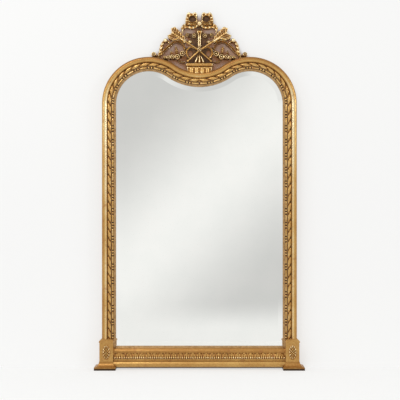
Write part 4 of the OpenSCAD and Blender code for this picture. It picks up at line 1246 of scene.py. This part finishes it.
def bell_shape(x, z):
    """Leaves that fan out from over the top and deepen downwards."""
    fan = np.arctan2(x, np.maximum(FAN_MIDDLE - z, 1))
    down = smooth_step(BELL_TOP - z, 0, BELL_DEEP)
    return BELL_BASE + BELL_RISE * np.abs(np.cos(fan * FAN_LEAVES)) * (0.6 + 0.4 * down)


def basket_shape(x, z):
    """Staves with a plain ring over them."""
    stave = dome(((x / STAVE_PITCH) % 1.0 - 0.5) / 0.4)
    ring = smooth_step(z, BASKET_Z[1] - BASKET_RING[0], BASKET_Z[1] - BASKET_RING[1])
    return BASKET_BASE + BASKET_RISE * np.maximum(stave * (1 - ring), ring * 0.35)


def rim_shape(x, z):
    up = (z - RIM_Z[0]) / (RIM_Z[1] - RIM_Z[0])
    return RIM_BASE + RIM_RISE * dome((up - 0.5) / 0.5)


def slab(half_low, half_high, z_low, z_high):
    return [(-half_low, z_low), (half_low, z_low), (half_high, z_high), (-half_high, z_high)]


carved("leaf_bell", relief_mesh("bell", sheet_of(BELL, bell_shape), GROUND_FACE, BELL_BOX), "palmette")
staves = sheet_of(slab(*BASKET_HALF, *BASKET_Z), basket_shape)
basket = relief_mesh("basket", staves, BASKET_BACK, BASKET_BOX, tone=0.66, contrast=0.5)
carved("basket_staves", basket, "basket_body")
roll = sheet_of(slab(RIM_HALF, RIM_HALF, *RIM_Z), rim_shape)
rim = relief_mesh("rim", roll, GROUND_FACE, RIM_BOX, tone=0.42, contrast=0.4)
carved("basket_roll", rim, "basket_rim")


# ---------- fittings at the back ----------
# Mending plates and screws of zinc-plated steel, strap hangers with D-rings of brassed steel, and bumpers of
# pressed grey felt.

def plated(name, stops, tarnish):
    """Plated steel that has dulled in clouds and gone brown in spots."""
    material, tree, shader, coords = started(name)
    clouds = add(tree, "ShaderNodeTexNoise", patches(coords, size=7, detail=4.0))
    spots = add(tree, "ShaderNodeTexNoise", patches(coords, size=2.2, detail=2.0))
    metal = add(tree, "ShaderNodeValToRGB", [clouds], stops=stops)
    _, colour = spotted(tree, metal, spots, low=0.58, high=0.7, most=0.7, spot=tarnish)
    rough = add(tree, "ShaderNodeMapRange", {"Value": clouds, "To Min": 0.28, "To Max": 0.6})
    surface(tree, shader, colour, rough, metal=0.9, bump=(spots, 0.2, 0.1))
    return material


def pressed_felt():
    """Grey wool felt: matted fibres and a few lighter hairs."""
    material, tree, shader, coords = started("pressed_wool_felt")
    fibres = add(tree, "ShaderNodeTexNoise", patches(coords, size=0.9, detail=5.0))
    wool = add(tree, "ShaderNodeValToRGB", [fibres],
               stops=[(0.3, "35332f"), (0.6, "4c4943"), (0.8, "6d6960")])
    surface(tree, shader, wool, rough=0.95, bump=(fibres, 0.6, 0.5))
    return material


finish_nodes(plated("zinc_plated_steel_aged", [(0.3, "8d8f8e"), (0.7, "b3b4b0")], "6f6a5e"), "steel",
             "mending_plates", "screws")
finish_nodes(plated("brassed_steel_dulled", [(0.3, "8a6a34"), (0.7, "b8934e")], "5d4726"), "hanger_brass",
             "hanger_left", "hanger_right", "d_ring_left", "d_ring_right")
finish_nodes(pressed_felt(), "felt", "wall_bumpers")


# ---------- room, camera and lamps ----------
# A white wall that the mirror stands against and a pale floor, lit partly by themselves, so that the shadows
# on them stay faint. In the crest's openings the wall carries painted shade, dark and gilding-brown. One
# broad lamp is above and in front, and a small one stands on each side.

CAMERA_FAR = 5000.0
CAMERA_X = 3.0
CAMERA_Z = 845.0
FRAME_WIDE = 2000.0
SENSOR = 36.0
ROOM_HALF = 6000.0
FLOOR_FRONT = 900.0
WALL_Y = 52.0
ROOM_PAINT = "f9f9f8"
OWN_LIGHT = 0.6
# The dark, gilding-brown colours of the painted shade in the crest's openings.
CREST_SHADE_MATT = "d49c62"
CREST_SHADE_GLOW = "845430"
SHUT_IN_REACH = 120.0
SHUT_IN_FROM = 1440.0
SHUT_IN_FADE = 40.0
SHUT_IN_SHARE = (0.16, 0.56)
BEHIND_PIECE = 0.004
LAMP_AIM = (0, 0, 0.9)


def painted_crest_shade(tree, paints):
    """Paints shade on the wall in the crest's openings, where the carving closes it in: the paints fade to a
    dark, gilding-brown painted shade there. A place that a piece covers altogether stays light."""
    opened = add(tree, "ShaderNodeAmbientOcclusion", {"Distance": SHUT_IN_REACH * MM}, samples=16)
    low, high = SHUT_IN_SHARE
    free = add(tree, "ShaderNodeMapRange", {"Value": (opened, "AO"), "From Min": low, "From Max": high},
               interpolation_type="SMOOTHSTEP")
    place = add(tree, "ShaderNodeSeparateXYZ", [(add(tree, "ShaderNodeTexCoord"), "Object")])
    below = add(tree, "ShaderNodeMapRange", {
        "Value": (place, "Z"), "From Min": SHUT_IN_FROM * MM, "From Max": (SHUT_IN_FROM - SHUT_IN_FADE) * MM,
    })
    hidden = add(tree, "ShaderNodeMath", [(opened, "AO"), BEHIND_PIECE], operation="LESS_THAN")
    light = add(tree, "ShaderNodeMath", [free, hidden], operation="MAXIMUM")
    light = add(tree, "ShaderNodeMath", [light, below], operation="MAXIMUM")
    for paint, dark in paints:
        inputs = {"Factor": light, COLOUR_A: linear(dark), COLOUR_B: linear(ROOM_PAINT)}
        feed(tree, paint, {"Color": (add(tree, "ShaderNodeMix", inputs, data_type="RGBA"), COLOUR_OUT)})


def pale(name, crest_shade=False):
    """Matt white paint, clear from behind so that the object's back can be seen, with painted shade in the
    crest's openings when asked.
    """
    material = bpy.data.materials.new(name)
    material.use_nodes = True
    tree = material.node_tree
    tree.nodes.clear()
    matt = add(tree, "ShaderNodeBsdfDiffuse", {"Color": linear(ROOM_PAINT)})
    glow = add(tree, "ShaderNodeEmission", {"Color": linear(ROOM_PAINT), "Strength": 1.0})
    if crest_shade:
        painted_crest_shade(tree, ((matt, CREST_SHADE_MATT), (glow, CREST_SHADE_GLOW)))
    paint = add(tree, "ShaderNodeMixShader", [OWN_LIGHT, matt, glow])
    side = add(tree, "ShaderNodeNewGeometry")
    clear = add(tree, "ShaderNodeBsdfTransparent")
    seen = add(tree, "ShaderNodeMixShader", [(side, "Backfacing"), paint, clear])
    add(tree, "ShaderNodeOutputMaterial", [seen])
    return material


def plane(name, corners, paint):
    thing = linked(name, mesh_of(name, corners, [(0, 1, 2, 3)]))
    thing.data.materials.append(paint)
    return thing


floor = plane("floor", [(-ROOM_HALF, -FLOOR_FRONT, 0), (ROOM_HALF, -FLOOR_FRONT, 0), (ROOM_HALF, WALL_Y, 0),
                        (-ROOM_HALF, WALL_Y, 0)], pale("floor_paint"))
wall = plane("wall", [(-ROOM_HALF, WALL_Y, 0), (ROOM_HALF, WALL_Y, 0), (ROOM_HALF, WALL_Y, ROOM_HALF),
                      (-ROOM_HALF, WALL_Y, ROOM_HALF)], pale("wall_paint", crest_shade=True))

camera_data = bpy.data.cameras.new("camera")
camera_data.sensor_width = SENSOR
camera_data.lens = SENSOR * CAMERA_FAR / FRAME_WIDE
camera = linked("camera", camera_data)
camera.location = Vector((CAMERA_X, -CAMERA_FAR, CAMERA_Z)) * MM
camera.rotation_euler = (math.pi / 2, 0, 0)
scene.camera = camera


def lamp(name, place, size, watts):
    """A square lamp aimed at the middle of the mirror, with its place and size in metres."""
    data = bpy.data.lights.new(name, "AREA")
    data.size = size
    data.energy = watts
    thing = linked(name, data)
    thing.location = place
    thing.rotation_euler = (Vector(LAMP_AIM) - Vector(place)).to_track_quat("-Z", "Y").to_euler()


lamp("key", (-1.2, -3.2, 3.5), size=1.6, watts=51)
lamp("left", (-2.7, -2.3, 2.0), size=0.8, watts=10)
lamp("right", (2.7, -2.3, 2.0), size=0.8, watts=15)


# ---------- sky ----------
# What the glass and the gilding mirror: one soft bright stripe from low on the left to high on the right, in
# a greyer room. Its slopes count sideways or upwards for each step ahead, and are held near those that the
# plate mirrors, so that the bevel stays as faint as it is.

SKY_PLAIN = 0.6
SKY_CAMERA = 0.94
SKY_FLOOR = 0.92
SKY_WIDE = 0.82
SKY_SIDE = 0.075
SKY_TOP = 0.135
STRIPE_LIGHT, STRIPE_EDGE = 0.975, 0.66
STRIPE_HALF = 0.15
WIDE_FROM, WIDE_FULL = 0.33, 0.45
FLOOR_FROM, FLOOR_FULL = -0.1, -0.13
NUMBER_A, NUMBER_B = 2, 3
world = bpy.data.worlds.new("studio")
scene.world = world
world.use_nodes = True
sky = world.node_tree
sky.nodes.clear()
look = add(sky, "ShaderNodeTexCoord")
axis = add(sky, "ShaderNodeSeparateXYZ", [look])
ahead = add(sky, "ShaderNodeMath", [(axis, "Y")], operation="ABSOLUTE")
across = add(sky, "ShaderNodeMath", [(axis, "X"), ahead], operation="DIVIDE")
rise = add(sky, "ShaderNodeMath", [(axis, "Z"), ahead], operation="DIVIDE")
held_across = add(sky, "ShaderNodeClamp", {"Value": across, "Min": -SKY_SIDE, "Max": SKY_SIDE})
held_rise = add(sky, "ShaderNodeClamp", {"Value": rise, "Min": -SKY_TOP, "Max": SKY_TOP})
slant = add(sky, "ShaderNodeMath", [held_rise, held_across], operation="SUBTRACT")
off = add(sky, "ShaderNodeMath", [slant], operation="ABSOLUTE")
stripe = add(sky, "ShaderNodeMapRange", {
    "Value": off, "From Max": STRIPE_HALF, "To Min": STRIPE_LIGHT, "To Max": STRIPE_EDGE,
}, interpolation_type="SMOOTHSTEP")
far_across = add(sky, "ShaderNodeMath", [across], operation="ABSOLUTE")
far_rise = add(sky, "ShaderNodeMath", [rise], operation="ABSOLUTE")
aside = add(sky, "ShaderNodeMath", [far_across, far_rise], operation="MAXIMUM")
seen = stripe
for slope, start, full, light in ((aside, WIDE_FROM, WIDE_FULL, SKY_WIDE),
                                  (rise, FLOOR_FROM, FLOOR_FULL, SKY_FLOOR)):
    share = add(sky, "ShaderNodeMapRange", {"Value": slope, "From Min": start, "From Max": full},
                interpolation_type="SMOOTHSTEP")
    seen = add(sky, "ShaderNodeMix", {"Factor": share, NUMBER_A: seen, NUMBER_B: light}, data_type="FLOAT")
rays = add(sky, "ShaderNodeLightPath")
level = SKY_PLAIN
for ray, light in (("Is Glossy Ray", seen), ("Is Camera Ray", SKY_CAMERA)):
    inputs = {"Factor": (rays, ray), NUMBER_A: level, NUMBER_B: light}
    level = add(sky, "ShaderNodeMix", inputs, data_type="FLOAT")
back = add(sky, "ShaderNodeBackground", [(1, 1, 1, 1), level])
add(sky, "ShaderNodeOutputWorld", [back])

scene.view_settings.view_transform = "Standard"
